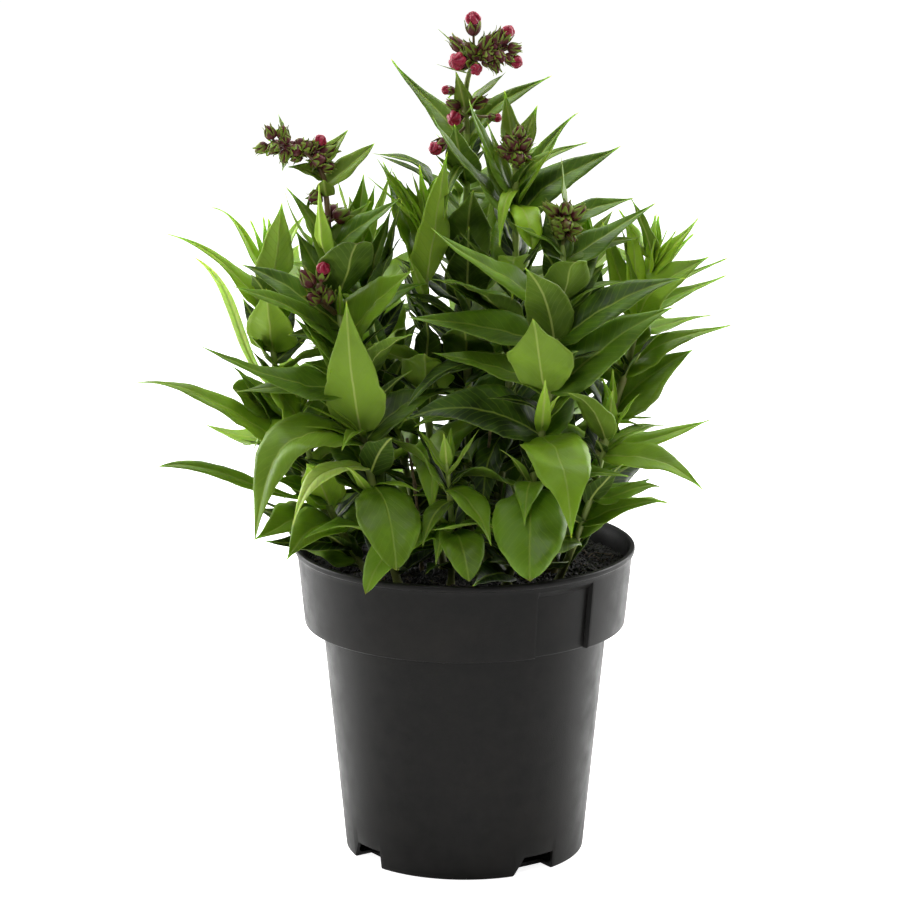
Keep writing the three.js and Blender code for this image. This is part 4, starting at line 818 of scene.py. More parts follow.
# Flower heads: the stalk's course and its buds, each from the stalk's part to its tip
heads = dict(
    centre=dict(
        stem="centre",
        course=((1, 8, 404.35), (0, 6, 424), (3, 3, 440), (9, 0, 448), (20, 0, 451)),
        buds=[
            (0.6, (4, -2, 472), 4.6, True), (0.56, (-7, -14, 447), 5.2, True), (0.95, (25, 0, 464), 3.8, True),
            (0.9, (31, -3, 443), 3.8, True), (0.6, (6, -15, 441), 3.4, True), (0.6, (-9, 3, 458), 3.6),
            (0.66, (0, -7, 456), 3.8), (0.74, (13, -6, 460), 4.2), (0.86, (20, -3, 463), 4),
            (1, (31, 0, 452), 3.4), (0.8, (14, -12, 447), 3.6), (0.9, (21, -11, 446), 3.6),
            (0.72, (10, 10, 452), 4), (0.62, (-3, 11, 448), 4), (0.84, (18, -3, 438), 3.4),
            (0.3, (-13, 1, 429), 2.7, True), (0.12, (-8, -7, 414), 4.4, True),
            (0.05, (-19, -8, 396), 4.2, True), (0.14, (20, 2, 413), 2.6, True), (0.18, (13, -1, 424), 3.8),
            (0.16, (-11, 6, 422), 3.4),
        ],
        bracts=[
            dict(start=0.12, tip=(22, -10, 441), wide=14, rise=0.12, fall=-0.04, face=40),
            dict(start=0.56, tip=(-15, 0, 463), wide=10, rise=0.02, fall=0),
            dict(start=0.1, tip=(-5, -8, 441), wide=11, rise=0.1, fall=0),
            dict(start=0.45, tip=(-16, -8, 444), wide=6, rise=0, fall=0),
        ],
    ),
    left=dict(
        stem="left",
        course=((-74, -24, 352.35), (-75, -23, 372), (-78, -22, 388), (-88, -20, 399), (-104, -20, 403)),
        buds=[
            (1, (-114, -21, 398), 3.4), (0.98, (-107, -23, 413), 3.6), (0.92, (-98, -22, 413), 3.6),
            (0.95, (-105, -30, 399), 3.4), (0.9, (-98, -24, 392), 3.2), (0.95, (-103, -11, 399), 3.4),
            (0.82, (-90, -29, 398), 3.8), (0.8, (-88, -12, 402), 3.8), (0.74, (-83, -28, 404), 3.8),
            (0.68, (-76, -22, 407), 3.8, True), (0.62, (-68, -20, 401), 4.2), (0.6, (-76, -32, 396), 4),
            (0.55, (-70, -26, 391), 3.8), (0.6, (-80, -12, 396), 3.8), (0.3, (-85, -28, 373), 4.4),
            (0.12, (-78, -33, 362), 4), (0.1, (-62, -21, 366), 4.8), (0.14, (-70, -12, 366), 4.2),
        ],
        bracts=[
            dict(start=0.36, tip=(-49, -20, 403), wide=15, rise=0.03, fall=-0.04, face=35, fold=0.25, peak=0.3),
            dict(start=0.55, tip=(-63, -18, 410), wide=13, rise=0, fall=0, face=30),
            dict(start=0.42, tip=(-96, -26, 391), wide=11, rise=0.1, fall=0.1, face=30),
            dict(start=0.88, tip=(-101, -19, 419), wide=10, rise=0, fall=0),
            dict(start=0.85, tip=(-99, -24, 388), wide=8, rise=0.1, fall=0),
            dict(start=0.28, tip=(-76, -40, 386), wide=11, rise=-0.1, fall=0.1, fold=0.3),
        ],
    ),
    rose=dict(
        stem="rose",
        course=((27, -22, 389.35), (27, -21, 398), (28, -20, 405)),
        buds=[
            (0.3, (17, -24, 402), 4), (0.6, (21, -28, 408), 3.8), (0.9, (30, -22, 413), 3.8),
            (0.5, (36, -24, 406), 4), (0.3, (36, -22, 395), 4), (0.3, (30, -32, 396), 4.2),
            (0.4, (24, -11, 404), 4), (0.4, (34, -11, 401), 4),
        ],
        bracts=[
            dict(start=0.3, tip=(21, -14, 431), wide=12, rise=0, fall=0, face=30),
            dict(start=0.3, tip=(39, -14, 423), wide=13, rise=-0.06, fall=0, face=30),
        ],
    ),
    right=dict(
        stem="right",
        course=((53, -40, 350.35), (53, -40, 360), (54, -40, 368)),
        buds=[
            (0.7, (41, -42, 374), 3.8), (0.5, (46, -49, 365), 3.8), (0.9, (54, -47, 375), 3.8),
            (0.6, (54, -52, 364), 4), (0.7, (65, -41, 372), 3.8), (0.5, (63, -45, 360), 3.8),
            (0.6, (50, -30, 370), 4), (0.6, (60, -31, 368), 4),
        ],
        bracts=[dict(start=0.8, tip=(51, -40, 399), wide=11, rise=0, fall=0, face=10)],
    ),
    side=dict(
        stem="left",
        course=((-70.4, -43.2, 314), (-77, -52, 322), (-79, -57, 332)),
        buds=[
            (0.6, (-88, -60, 341), 4.2), (0.8, (-75, -63, 345), 4, True), (0.3, (-72, -62, 330), 3.8),
            (0.4, (-84, -66, 328), 3.8),
        ],
        bracts=[],
    ),
)
for head in heads.values():
    head["buds"] = [dict(zip(("start", "tip", "radius", "open"), bud)) for bud in head["buds"]]


def mix(a, b, t):
    return a + (b - a) * t


# Park and Miller's generator: the same draws on every run
def drawsFrom(seed):
    state = seed
    while True:
        state = (state * 16807) % 2147483647
        yield state / 2147483647


# Middle of a stem at a height
def stemAt(stem, z):
    t = (z - soilTop) / (stem["top"][2] - soilTop)
    spot = [
        (1 - t) ** 2 * stem["foot"][i] + 2 * t * (1 - t) * stem["bow"][i] + t * t * stem["top"][i] for i in (0, 1)
    ]
    return Vector((spot[0], spot[1], z))


def rootOn(stem, z, turn):
    t = (z - soilTop) / (stem["top"][2] - soilTop)
    back = -sunk * mix(stem["thick"][0], stem["thick"][1], t)
    return stemAt(stem, z) + Vector((back * math.cos(math.radians(turn)), back * math.sin(math.radians(turn)), 0))


def tipAt(root, turn, slope, length):
    a, e = math.radians(turn), math.radians(slope)
    return root + Vector((math.cos(a) * math.cos(e), math.sin(a) * math.cos(e), math.sin(e))) * length


# Tip of a leaf bent sideways, bent up and made shorter or longer
def bentTip(root, tip, bend):
    chord = tip - root
    turn = math.degrees(math.atan2(chord.y, chord.x)) + bend[0]
    slope = math.degrees(math.atan2(chord.z, math.hypot(chord.x, chord.y))) + bend[1]
    return tipAt(root, turn, slope, chord.length * bend[2])


def turnOf(root, tip):
    return math.degrees(math.atan2(tip.y - root.y, tip.x - root.x))


# Radius of the bush at a height
def reachAt(z):
    above = max(1, next(i for i, row in enumerate(outline) if row[0] > z))
    (z0, r0), (z1, r1) = outline[above - 1], outline[above]
    return r0 + (r1 - r0) * (z - z0) / (z1 - z0)


# Points of each solid stem, to find how each leaf was bent clear of its neighbours
def pointsOf(node):
    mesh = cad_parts[node].data
    tree = KDTree(len(mesh.vertices))
    for vertex in mesh.vertices:
        tree.insert(vertex.co / mm, vertex.index)
    tree.balance()
    return tree


def usedTip(points, root, tip):
    for bend in tries:
        end = bentTip(root, tip, bend)
        if points.find(end)[2] < 0.4:
            return end
    return None


# Every leaf of a stem, by the same rules and draws as the solid one
def leavesOf(name, stem, index):
    points = pointsOf("stem_" + name)
    leaves = []
    for look in frontLeaves.get(name, ()):
        goal = Vector(look["tip"])
        root = rootOn(stem, look["z"], turnOf(stemAt(stem, look["z"]), goal))
        tip = usedTip(points, root, goal)
        if tip and "seat" in look:
            root = rootOn(stem, look["seat"], turnOf(stemAt(stem, look["seat"]), goal))
        if tip:
            tip = Vector(look.get("end", tip))
            leaves.append(dict(look, kind="front", root=root, tip=tip, turn=turnOf(root, tip)))
    draws = drawsFrom(7919 * (index + 3))
    draw = lambda: next(draws)
    top = stem["top"][2]
    for i in range(int((top - pairs["clearTop"] - pairs["first"]) // pairs["step"]) + 1):
        z = pairs["first"] + pairs["step"] * i
        t = (z - pairs["first"]) / max(1, top - pairs["first"])
        a, b, u = (pairs["low"], pairs["middle"], t * 2) if t < 0.5 else (pairs["middle"], pairs["high"], t * 2 - 1)
        for half in (0, 180):
            turn = stem["turn"] + 90 * i + half + pairs["turnSpread"] * (2 * draw() - 1)
            slope = mix(a["slope"], b["slope"], u) + pairs["slopeSpread"] * (2 * draw() - 1)
            stretch = 1 + pairs["lengthSpread"] * (2 * draw() - 1)
            width = mix(a["width"], b["width"], u)
            face = pairs["rollSpread"] * (2 * draw() - 1)
            rise, fall = 0.1 + 0.1 * draw(), 0.02 + 0.14 * draw()
            root = rootOn(stem, z, turn)
            near = [leaf for leaf in leaves if leaf["kind"] == "front" and abs(leaf["z"] - z) < pairs["clearHeight"]]
            if any(abs((leaf["turn"] - turn + 540) % 360 - 180) < pairs["clearTurn"] for leaf in near):
                continue
            length = mix(a["length"], b["length"], u) * stretch
            tip = tipAt(root, turn, slope, length)
            while length > pairs["shortest"] and math.hypot(tip.x - bushMiddle, tip.y) > reachAt(tip.z):
                length -= pairs["shorter"]
                tip = tipAt(root, turn, slope, length)
            end = usedTip(points, root, tip)
            if end:
                wide = max(length * width, pairs["narrowest"])
                leaves.append(dict(kind="pair", z=z, root=root, tip=end, wide=wide, rise=rise, fall=fall, face=face))
        for half in (0, 180):
            chance, spread, size = draw(), draw(), draw()
            if chance > axil["odds"]:
                continue
            turn = stem["turn"] + 90 * i + half + axil["spread"] * (spread - 0.5)
            root = rootOn(stem, z + axil["lift"], turn)
            length = axil["length"] * (0.7 + 0.6 * size)
            end = usedTip(points, root, tipAt(root, turn, axil["slope"], length))
            if end:
                wide = length * axil["width"]
                leaves.append(dict(kind="small", z=z, root=root, tip=end, wide=wide, rise=0, fall=0.05))
    if name in [head["stem"] for head in heads.values()]:
        return leaves
    for i in range(tuft["count"]):
        for half in (0, 180):
            turn = stem["turn"] + 45 + 90 * i + half
            root = rootOn(stem, top - 2 - tuft["drop"] * i, turn)
            length = tuft["length"] * (1 + 0.35 * i) * (0.85 + 0.3 * draw())
            end = usedTip(points, root, tipAt(root, turn, tuft["slope"] - tuft["splay"] * i, length))
            if end:
                wide = length * tuft["width"]
                leaves.append(dict(kind="small", z=root.z, root=root, tip=end, wide=wide, rise=-0.08, fall=0.04))
    return leaves


# Gives a blade's middle, its ways sideways and upwards and its half width at a share of its length, and
# its length, in millimetres
def bladeForm(leaf):
    root, tip = leaf["root"], leaf["tip"]
    chord = tip - root
    length = chord.length
    out = Vector((chord.x, chord.y, 0)).normalized()
    along = chord.normalized()
    lift = (up - along * up.dot(along)).normalized()
    rise, fall = lift * leaf["rise"] * length, lift * leaf["fall"] * length
    bends = [root, root + chord / 3 + rise, root + chord * 2 / 3 + fall, tip]
    belly, point = (0.8, 0.75) if leaf.get("round") else (0.62, 1.45)
    if leaf.get("peak"):
        belly, point = leaf["peak"] / (1 - leaf["peak"]), 1.0
    peak = belly / (belly + point)
    most = peak ** belly * (1 - peak) ** point
    roll = math.radians(leaf.get("face", 0) * (-1 if out.x < 0 else 1))
    level = up.cross(out)

    def at(t):
        a, b, c, d = bends
        centre = a * (1 - t) ** 3 + b * 3 * t * (1 - t) ** 2 + c * 3 * t * t * (1 - t) + d * t ** 3
        droop = max(0, (t - 0.5) * 2) ** 2 * leaf.get("droop", 0) * length
        forward = ((b - a) * (1 - t) ** 2 + (c - b) * 2 * t * (1 - t) + (d - c) * t * t).normalized()
        over = forward.cross(level)
        angle = roll + leaf.get("twist", 0) * t
        side = level * math.cos(angle) + over * math.sin(angle)
        face = over * math.cos(angle) - level * math.sin(angle)
        half = leaf["wide"] / 2 * t ** belly * (1 - t) ** point / most
        if leaf.get("shoulder") and t > leaf["shoulder"]:
            u = (t - leaf["shoulder"]) / (1 - leaf["shoulder"])
            half = min(half, leaf["wide"] / 2 * (1 - u ** 0.7) ** 1.1)
        sway = leaf.get("sway", 0) * length * math.sin(math.pi * t) * t
        return centre + side * sway - face * droop, side, face, half

    return at, length


# Space taken by blades, stems and buds, as points in small cells, so that added leaves keep clear
cellSize = 4.0
taken = {}


def cellOf(point):
    return tuple(int(math.floor(part / cellSize)) for part in point)


def take(points):
    for point in points:
        taken.setdefault(cellOf(point), []).append(point)


def isClear(points, gap):
    for point in points:
        x, y, z = cellOf(point)
        for i in (-1, 0, 1):
            for j in (-1, 0, 1):
                for k in (-1, 0, 1):
                    for other in taken.get((x + i, y + j, z + k), ()):
                        if (other - point).length < gap:
                            return False
    return True


def bladePoints(leaf, start=0.0):
    at, length = bladeForm(leaf)
    count = max(5, int(length / 2.5))
    points = []
    for i in range(count + 1):
        t = start + (1 - start) * i / count
        centre, side, face, half = at(t)
        fold = leaf.get("fold", 0.2)
        steps = max(1, int(half / 2.0))
        for j in range(-steps, steps + 1):
            share = j / steps
            points.append(centre + side * half * share + face * half * fold * abs(share) ** 1.45)
    return points


allLeaves = {}
for index, (name, stem) in enumerate(stems.items()):
    allLeaves[name] = leavesOf(name, stem, index)
    for leaf in allLeaves[name]:
        take(bladePoints(leaf))
    take([stemAt(stem, soilTop + 2.5 * i) for i in range(int((stem["top"][2] - soilTop) / 2.5) + 1)])
for head in heads.values():
    for bud in head["buds"]:
        take([Vector(bud["tip"])])
print("leaves found:", sum(len(leaves) for leaves in allLeaves.values()))

# Leaves that the solids leave out: height of the root, tip, width, rise, fall, youth, roll and roundness. Youth here
# is partly the leaf's age and partly painted light and shade, as in the leaves above
moreLeaves = dict(
    inner=[
        (347, (-53, -20, 386), 9, 0.05, 0, 0.9), (351, (-40, -14, 387), 7, 0.04, 0, 0.9),
        (357, (-25, -18, 391), 6, 0.04, 0, 0.95), (314, (-31, -30, 343), 8, 0.02, 0.02, 0.6),
        (361, (-44, 0, 381), 10, 0.05, 0, 0.7, 30), (351, (-42, -6, 386), 16, 0, 0, 0.8, 30),
        (346, (-33, -4, 380), 16, 0.05, 0, 0.5, 30), (347, (-48, -12, 394), 20, 0, 0, 0.4, 30),
        (347, (-29, -8, 387), 20, 0, 0, 0.5, 30),
    ],
    centre=[
        (388, (-12, -32, 363), 7, 0.2, 0.25, 0.1), (311, (2, -38, 361), 26, -0.05, 0, 0),
        (294, (-33, -34, 324), 18, 0.1, 0.05, 0.1, 30), (373, (-18, -8, 397), 12, 0, 0, 0.5, 30),
        (300, (-14, -40, 345), 20, 0, 0, 0, 50), (286, (-33, -46, 326), 18, 0, 0, 0, 50),
    ],
    rose=[
        (378, (18, -50, 351), 8, 0.36, 0.3, 0.6), (369, (36, -52, 350), 17, 0.3, 0.3, 0.75, 0, True),
        (341, (25, -52, 322), 18, 0.36, 0.34, 0.5), (278, (-34, -50, 260), 25, 0.28, 0.26, 0),
        (244, (10, -46, 194), 20, 0.34, 0.3, 0), (317, (-3, -40, 358), 20, 0, 0.02, 0.1),
        (300, (-14, -46, 333), 18, 0.05, 0.05, 0.1, 30), (317, (45, -30, 359), 20, 0.05, 0, 0.1, 30),
        (369, (12, -20, 414), 11, 0, 0, 0.3, 30), (377, (67, -10, 402), 8, 0.25, 0.1, 0.3, 30),
        (367, (8, -16, 402), 14, 0, 0, 0.2, 40), (323, (40, -46, 354), 20, 0, 0, 0, 40),
    ],
    farLeft=[
        (307, (-111, 14, 358), 9, 0.04, 0.04, 0.5), (319, (-118, 5, 357), 5, 0.04, 0.04, 0.7, 30),
        (233, (-123, -46, 283), 26, -0.05, 0, 0.2, 50), (258, (-116, -30, 292), 20, 0, 0, 0.1, 50),
        (248, (-126, -40, 272), 26, 0, 0, 0.3, 50, True), (274, (-116, -30, 299), 22, 0, 0, 0.3, 40),
    ],
    left=[
        (247, (-91, -72, 272), 8, 0.06, 0.05, 0.7), (249, (-82, -66, 273), 7, 0.04, 0.05, 0.8),
        (243, (-86, -80, 259), 7, 0.1, 0.1, 0.6), (292, (-89, -64, 302), 6, 0.05, 0.05, 0.7),
        (294, (-82, -68, 309), 6, 0.05, 0.05, 0.8), (291, (-72, -76, 287), 8, 0.3, 0.3, 0.6),
        (311, (-67, -62, 333), 4, 0.02, 0.02, 0.8), (211, (-90, -40, 234), 28, 0.1, 0.1, 0),
        (247, (-66, -88, 248), 9, 0.3, 0.25, 0.4), (217, (-66, -88, 239), 8, -0.1, 0.16, 0.5),
        (219, (-24, -84, 225), 9, 0.18, 0.1, 0.4), (250, (-107, -70, 251), 12, 0.14, 0.1, 0.1),
        (320, (-92, -34, 358), 19, -0.05, 0, 0.1, 50), (231, (-92, -94, 207), 17, 0.3, 0.4, 1.4, 10),
        (271, (-123, -60, 274), 20, 0.1, 0.05, 0.2, 30), (297, (-96, -50, 303), 18, 0.1, 0.1, 0.1, 30),
        (279, (-91, -60, 315), 18, 0.05, 0, 0.2, 40), (276, (-87, -66, 292), 18, 0.1, 0.05, 0.1, 30),
        (325, (-97, -26, 380), 14, 0.12, 0.1, 0.3, 30), (348, (-81, -26, 381), 11, -0.36, -0.3, 0.6, 20),
        (340, (-51, -16, 371), 16, 0.1, 0.05, 0.3, 40), (283, (-90, -70, 320), 20, 0, 0, 0.1, 50),
        (276, (-82, -76, 308), 20, 0, 0, 0.2, 50),
    ],
    farRight=[
        (312, (146, 20, 333), 5, 0.1, 0.02, 0.3, 30), (255, (80, -38, 282), 5, 0.05, 0.05, 0.9),
        (254, (74, -42, 278), 5, 0.05, 0.05, 0.9), (248, (87, -40, 259), 7, 0.1, 0.1, 0.8),
        (247, (101, -28, 246), 6, 0.22, 0.12, 0.4), (305, (75, -12, 359), 16, -0.1, 0, 0.5, 50),
        (329, (110, -14, 355), 6, 0, 0, 0.9, 40), (331, (115, -12, 354), 6, 0, 0, 0.9, 40),
        (321, (126, 6, 349), 7, 0.1, 0.05, 0.5, 30), (291, (96, -10, 315), 18, 0.05, 0.05, 0.2, 30),
        (335, (90, -16, 373), 12, 0.1, 0.05, 0.3), (315, (85, -16, 356), 16, 0, 0, 0.2, 40),
        (335, (104, 0, 361), 9, 0, 0, 0.8, 40),
    ],
    right=[
        (313, (96, -26, 328), 11, 0.24, 0.14, 0.2), (251, (42, -90, 288), 9, -0.05, 0, 0.7),
        (252, (50, -84, 278), 5, 0.1, 0.1, 0.8), (253, (67, -62, 280), 15, 0.08, 0.08, 0.3),
        (220, (18, -72, 246), 9, 0.1, 0.1, 0.2), (324, (77, -24, 352), 20, 0.1, 0.05, 0.1, 50),
        (342, (95, -18, 351), 12, 0.1, 0.05, 0.2, 36), (342, (43, -30, 369), 18, 0, 0, 0.1, 40),
        (317, (76, -34, 340), 14, 0, 0, 0.1, 40),
    ],
    lowRight=[
        (239, (116, -10, 245), 13, 0.14, 0.1, 0.3),
    ],
    lowLeft=[
        (250, (-116, -42, 235), 22, 0.3, 0.34, 0.6), (241, (-122, -50, 243), 6, 0.04, 0.04, 0.3),
        (174, (-94, -30, 181), 26, 0.1, 0.08, 0.2, 30), (207, (-105, -50, 224), 18, 0.1, 0.1, 0.2, 30),
    ],
    midLeft=[
        (324, (-56, -6, 366), 13, 0.04, 0.02, 0.5), (305, (-35, -30, 374), 24, -0.12, 0, 0, 50),
        (336, (-49, -4, 365), 14, 0, 0, 0.4, 30), (342, (-63, 4, 370), 12, 0, 0, 0.4, 30),
        (330, (-50, 2, 378), 18, 0, 0, 0.6, 40), (332, (-63, 4, 371), 18, 0, 0, 0.4, 40),
        (342, (-55, -6, 384), 16, 0.05, 0, 0.4, 30), (314, (-40, -24, 370), 14, 0, 0, 0.2, 30),
        (308, (-35, -20, 354), 18, 0, 0, 0, 50),
    ],
    back=[
        (330, (19, 30, 392), 18, 0.02, 0.02, 0.5), (335, (-14, 40, 385), 18, 0.02, 0.02, 0.5),
    ],
    backRight=[
        (314, (86, 20, 343), 18, 0.05, 0.04, 0.5), (303, (44, 30, 364), 18, 0.04, 0.04, 0.4),
    ],
    backLeft=[
        (300, (-86, 30, 341), 18, 0.05, 0.03, 0.5), (306, (-42, 36, 354), 18, 0.04, 0.04, 0.5),
    ],
    lowFront=[
        (215, (-23, -86, 194), 13, 0.2, 0.2, 0.2), (203, (-16, -82, 183), 11, 0.2, 0.2, 0.2),
    ],
)
for name, leaves in moreLeaves.items():
    for z, tip, *shape in leaves:
        look = dict(zip(("wide", "rise", "fall", "youthAndLight", "face", "round"), shape))
        root = rootOn(stems[name], z, turnOf(stemAt(stems[name], z), Vector(tip)))
        allLeaves[name].append(dict(look, kind="front", root=root, tip=Vector(tip), tone=look["youthAndLight"] - 0.1))
        take(bladePoints(allLeaves[name][-1]))

# Leaves that fill the inside of the bush, where they have room
inner = dict(
    first=172, step=8, belowTop=8, aboveSoil=6, withinOutline=6, tries=12, most=3, gap=1.9, freeFrom=0.25, seed=31,
    length=(60, 30), slope=(22, 56), width=0.34, heightSpread=(-3, 3), slopeSpread=(-18, 16),
    lengthSpread=(0.55, 1.2), widthSpread=(0.85, 1.2), face=(-35, 35), rise=(-0.05, 0.16), fall=(-0.02, 0.12),
)
added = 0
for name, stem in stems.items():
    rng = random.Random(inner["seed"] + len(name) + stem["turn"])
    z = inner["first"]
    while z < stem["top"][2] - inner["belowTop"]:
        t = (z - soilTop) / (stem["top"][2] - soilTop)
        placedHere = 0
        for attempt in range(inner["tries"]):
            turn = rng.uniform(0, 360)
            slope = mix(*inner["slope"], t) + rng.uniform(*inner["slopeSpread"])
            length = mix(*inner["length"], t) * rng.uniform(*inner["lengthSpread"])
            root = rootOn(stem, z + rng.uniform(*inner["heightSpread"]), turn)
            tip = tipAt(root, turn, slope, length)
            face, rise, fall = (rng.uniform(*inner[label]) for label in ("face", "rise", "fall"))
            width = length * inner["width"] * rng.uniform(*inner["widthSpread"])
            outside = math.hypot(tip.x - bushMiddle, tip.y) > reachAt(tip.z) - inner["withinOutline"]
            if outside or tip.z < soilTop + inner["aboveSoil"]:
                continue
            leaf = dict(kind="inner", z=z, root=root, tip=tip, wide=width, rise=rise, fall=fall, face=face)
            if isClear(bladePoints(leaf, inner["freeFrom"]), inner["gap"]):
                take(bladePoints(leaf))
                allLeaves[name].append(leaf)
                added += 1
                placedHere += 1
                if placedHere == inner["most"]:
                    break
        z += inner["step"]
print("inner leaves added:", added)


# Blades of a list of leaves as one closed mesh, tops and undersides with their own skins
blades = dict(
    steps=11, courseSteps=24, shortSteps=15, shortUnder=40, waveHeight=0.1, waves=13.0, unevenness=0.45,
    thickness=0.42 * mm, fold=0.24,
)
# How far each kind of leaf twists and droops at random, its range of tone, and how much younger it is. The inner
# leaves' low tone and lowered youth are painted shade, darkening the leaves inside the bush where shade falls
loosenessOf = dict(front=0.4, pair=1.0, small=1.0, inner=1.3)
tonesOf = dict(front=(0.15, 0.7), pair=(-0.2, 0.6), small=(-0.2, 0.6), inner=(-1.1, -0.2))
ageAndShadeBy = dict(front=0, pair=0, small=0.25, inner=-0.5)
# How young and bright the leaves of each stem are, where a leaf doesn't say it: partly their age, partly painted
# light and shade. The low values of the centre and rose stems paint the shade in the middle of the bush
ageAndLightOf = dict(
    left=0.1, right=0.1, centre=0.12, rose=0.05, farRight=0.4, farLeft=0.5, midLeft=0.5, inner=0.5, lowLeft=0.3,
    lowRight=0.2, lowFront=0.2, backLeft=0.25, back=0.25, backRight=0.25,
)


def bladePiece(name, leaves, youthAndLight, seed):
    lines = []
    labels = (
        "halfWidth", "foldShare", "waveStart", "bulge", "curl", "tone", "youthAndLight", "blush", "alongShare", "alongLeaf"
    )
    floats = {label: [] for label in labels}
    vectors = {label: [] for label in ("coursePoint", "sideWay", "faceWay")}
    rng = random.Random(seed)
    for leaf in leaves:
        loose = loosenessOf[leaf["kind"]]
        leaf.setdefault("twist", rng.uniform(-0.3, 0.3) * loose)
        leaf.setdefault("sway", rng.uniform(-0.03, 0.03) * loose)
        leaf.setdefault("droop", rng.uniform(-0.02, 0.06) * loose)
        tone = leaf.get("tone", rng.uniform(*tonesOf[leaf["kind"]]))
        age = leaf.get("youthAndLight", youthAndLight + rng.uniform(-0.12, 0.12) + ageAndShadeBy[leaf["kind"]])
        start = rng.uniform(0, math.tau)
        bulge, curl = rng.uniform(0.02, 0.12), rng.uniform(-0.16, 0.02)
        at, length = bladeForm(leaf)
        count = blades["courseSteps"] if length > blades["shortUnder"] else blades["shortSteps"]
        line = []
        for i in range(count + 1):
            t = i / count
            centre, side, face, half = at(t)
            half = max(half, 0.6 * min(1, (1 - t) * 20) ** 0.5 if t > 0.5 else 1.1 - 2 * t)
            line.append(centre * mm)
            vectors["coursePoint"].append(centre * mm)
            vectors["sideWay"].append(side)
            vectors["faceWay"].append(face)
            row = (
                half * mm, leaf.get("fold", blades["fold"]), start, bulge, curl, tone, max(0, age),
                leaf.get("blush", 0), t, t * length * mm,
            )
            for label, number in zip(labels, row):
                floats[label].append(number)
        lines.append(line)
    values = {label: ("FLOAT", numbers) for label, numbers in floats.items()}
    values.update({label: ("FLOAT_VECTOR", numbers) for label, numbers in vectors.items()})
    piece = newPiece(name, lineMesh(name, lines, values))
    grown(piece, leafBlades, {
        "Steps across": blades["steps"], "Wave height": blades["waveHeight"], "Waves": blades["waves"],
        "Unevenness": blades["unevenness"], "Skin": leafSkin,
    })
    mesh = piece.data
    upward = mesh.attributes["faceWay"].data
    facing = sum(
        face.normal.dot(Vector(upward[face.vertices[0]].vector)) * face.area for face in mesh.polygons
    )
    if facing < 0:
        mesh.flip_normals()
    mesh.materials.append(underSkin)
    solid = piece.modifiers.new("thickness", "SOLIDIFY")
    solid.thickness = blades["thickness"]
    solid.offset = -1
    solid.thickness_clamp = 2
    solid.material_offset = 1
    return grown(piece)


def stalkPiece(name, lines, thickness, skin, sides, extra={}):
    values = {"thickness": ("FLOAT", thickness)}
    values.update({label: ("FLOAT", numbers) for label, numbers in extra.items()})
    piece = newPiece(name, lineMesh(name, lines, values))
    return grown(piece, roundStalks, {"Sides": sides, "Skin": skin})


# Leafy stems: a round stem that swells at each leaf pair, with its blades
stalkForm = dict(steps=60, buried=12, waist=0.92, swell=0.22, swellLength=2.2, sides=14)
for index, (name, stem) in enumerate(stems.items()):
    top = stem["top"][2]
    low = soilTop - stalkForm["buried"]
    line, thickness, along, blush = [], [], [], []
    for i in range(stalkForm["steps"] + 1):
        z = low + (top - low) * i / stalkForm["steps"]
        t = max(0, (z - soilTop) / (top - soilTop))
        centre = stemAt(stem, z) if z > soilTop else Vector((*stem["foot"], z))
        toPair = abs((z - pairs["first"] + pairs["step"] / 2) % pairs["step"] - pairs["step"] / 2)
        swell = math.exp(-(toPair / stalkForm["swellLength"]) ** 2)
        line.append(centre * mm)
        thickness.append(mix(*stem["thick"], t) * (stalkForm["waist"] + stalkForm["swell"] * swell) * mm)
        along.append(t)
        blush.append(0.25 * swell + (0.25 if name == "farRight" else 0))
    values = {"alongShare": along, "blush": blush}
    stalk = stalkPiece("stalk", [line], thickness, stemSkin, stalkForm["sides"], values)
    leafy = bladePiece("blades", allLeaves[name], ageAndLightOf[name], 40 + index)
    settle(joined("stem_" + name + "_leafy", [leafy, stalk]), "leaf", "stem_" + name)
print("leafy stems made")


# A closed sheet from rows of points, with its back behind it by depth, towards where inward points
def closedSheet(rows, depth, inward):
    count, across = len(rows), len(rows[0])
    outer = [point for row in rows for point in row]
    points = outer + [point + inward(point) * depth for point in outer]
    back = len(outer)
    faces = []
    for r in range(count - 1):
        for k in range(across - 1):
            a, b, c, d = r * across + k, r * across + k + 1, (r + 1) * across + k + 1, (r + 1) * across + k
            faces += [(a, b, c, d), (back + d, back + c, back + b, back + a)]
    rim = list(range(across)) + [r * across + across - 1 for r in range(1, count)]
    rim += [(count - 1) * across + k for k in range(across - 2, -1, -1)]
    rim += [r * across for r in range(count - 2, 0, -1)]
    for a, b in zip(rim, rim[1:] + rim[:1]):
        faces.append((b, a, back + a, back + b))
    return points, faces


# Faces of a tube whose rings of points follow each other from base on, with its foot closed
def tubeFaces(base, rings, sides):
    faces = []
    for r in range(rings - 1):
        for k in range(sides):
            a, b = base + r * sides + k, base + r * sides + (k + 1) % sides
            faces.append((a, b, b + sides, a + sides))
    return faces + [tuple(base + k for k in reversed(range(sides)))]


# A bud's mesh, with each point's share of its height and of its sepal or petal
def budMesh(name, points, faces, along, across):
    mesh = newMesh(name, points, faces)
    for label, numbers in (("alongBud", along), ("acrossSepal", across)):
        mesh.attributes.new(label, "FLOAT", "POINT").data.foreach_set("value", numbers)
    return mesh


# Calyx of five sepals round a core, one unit in radius and one in height
calyx = dict(sepals=5, spread=0.66, across=5, rows=9, sheet=0.07, overlap=0.05, keel=0.06, coreSides=10)


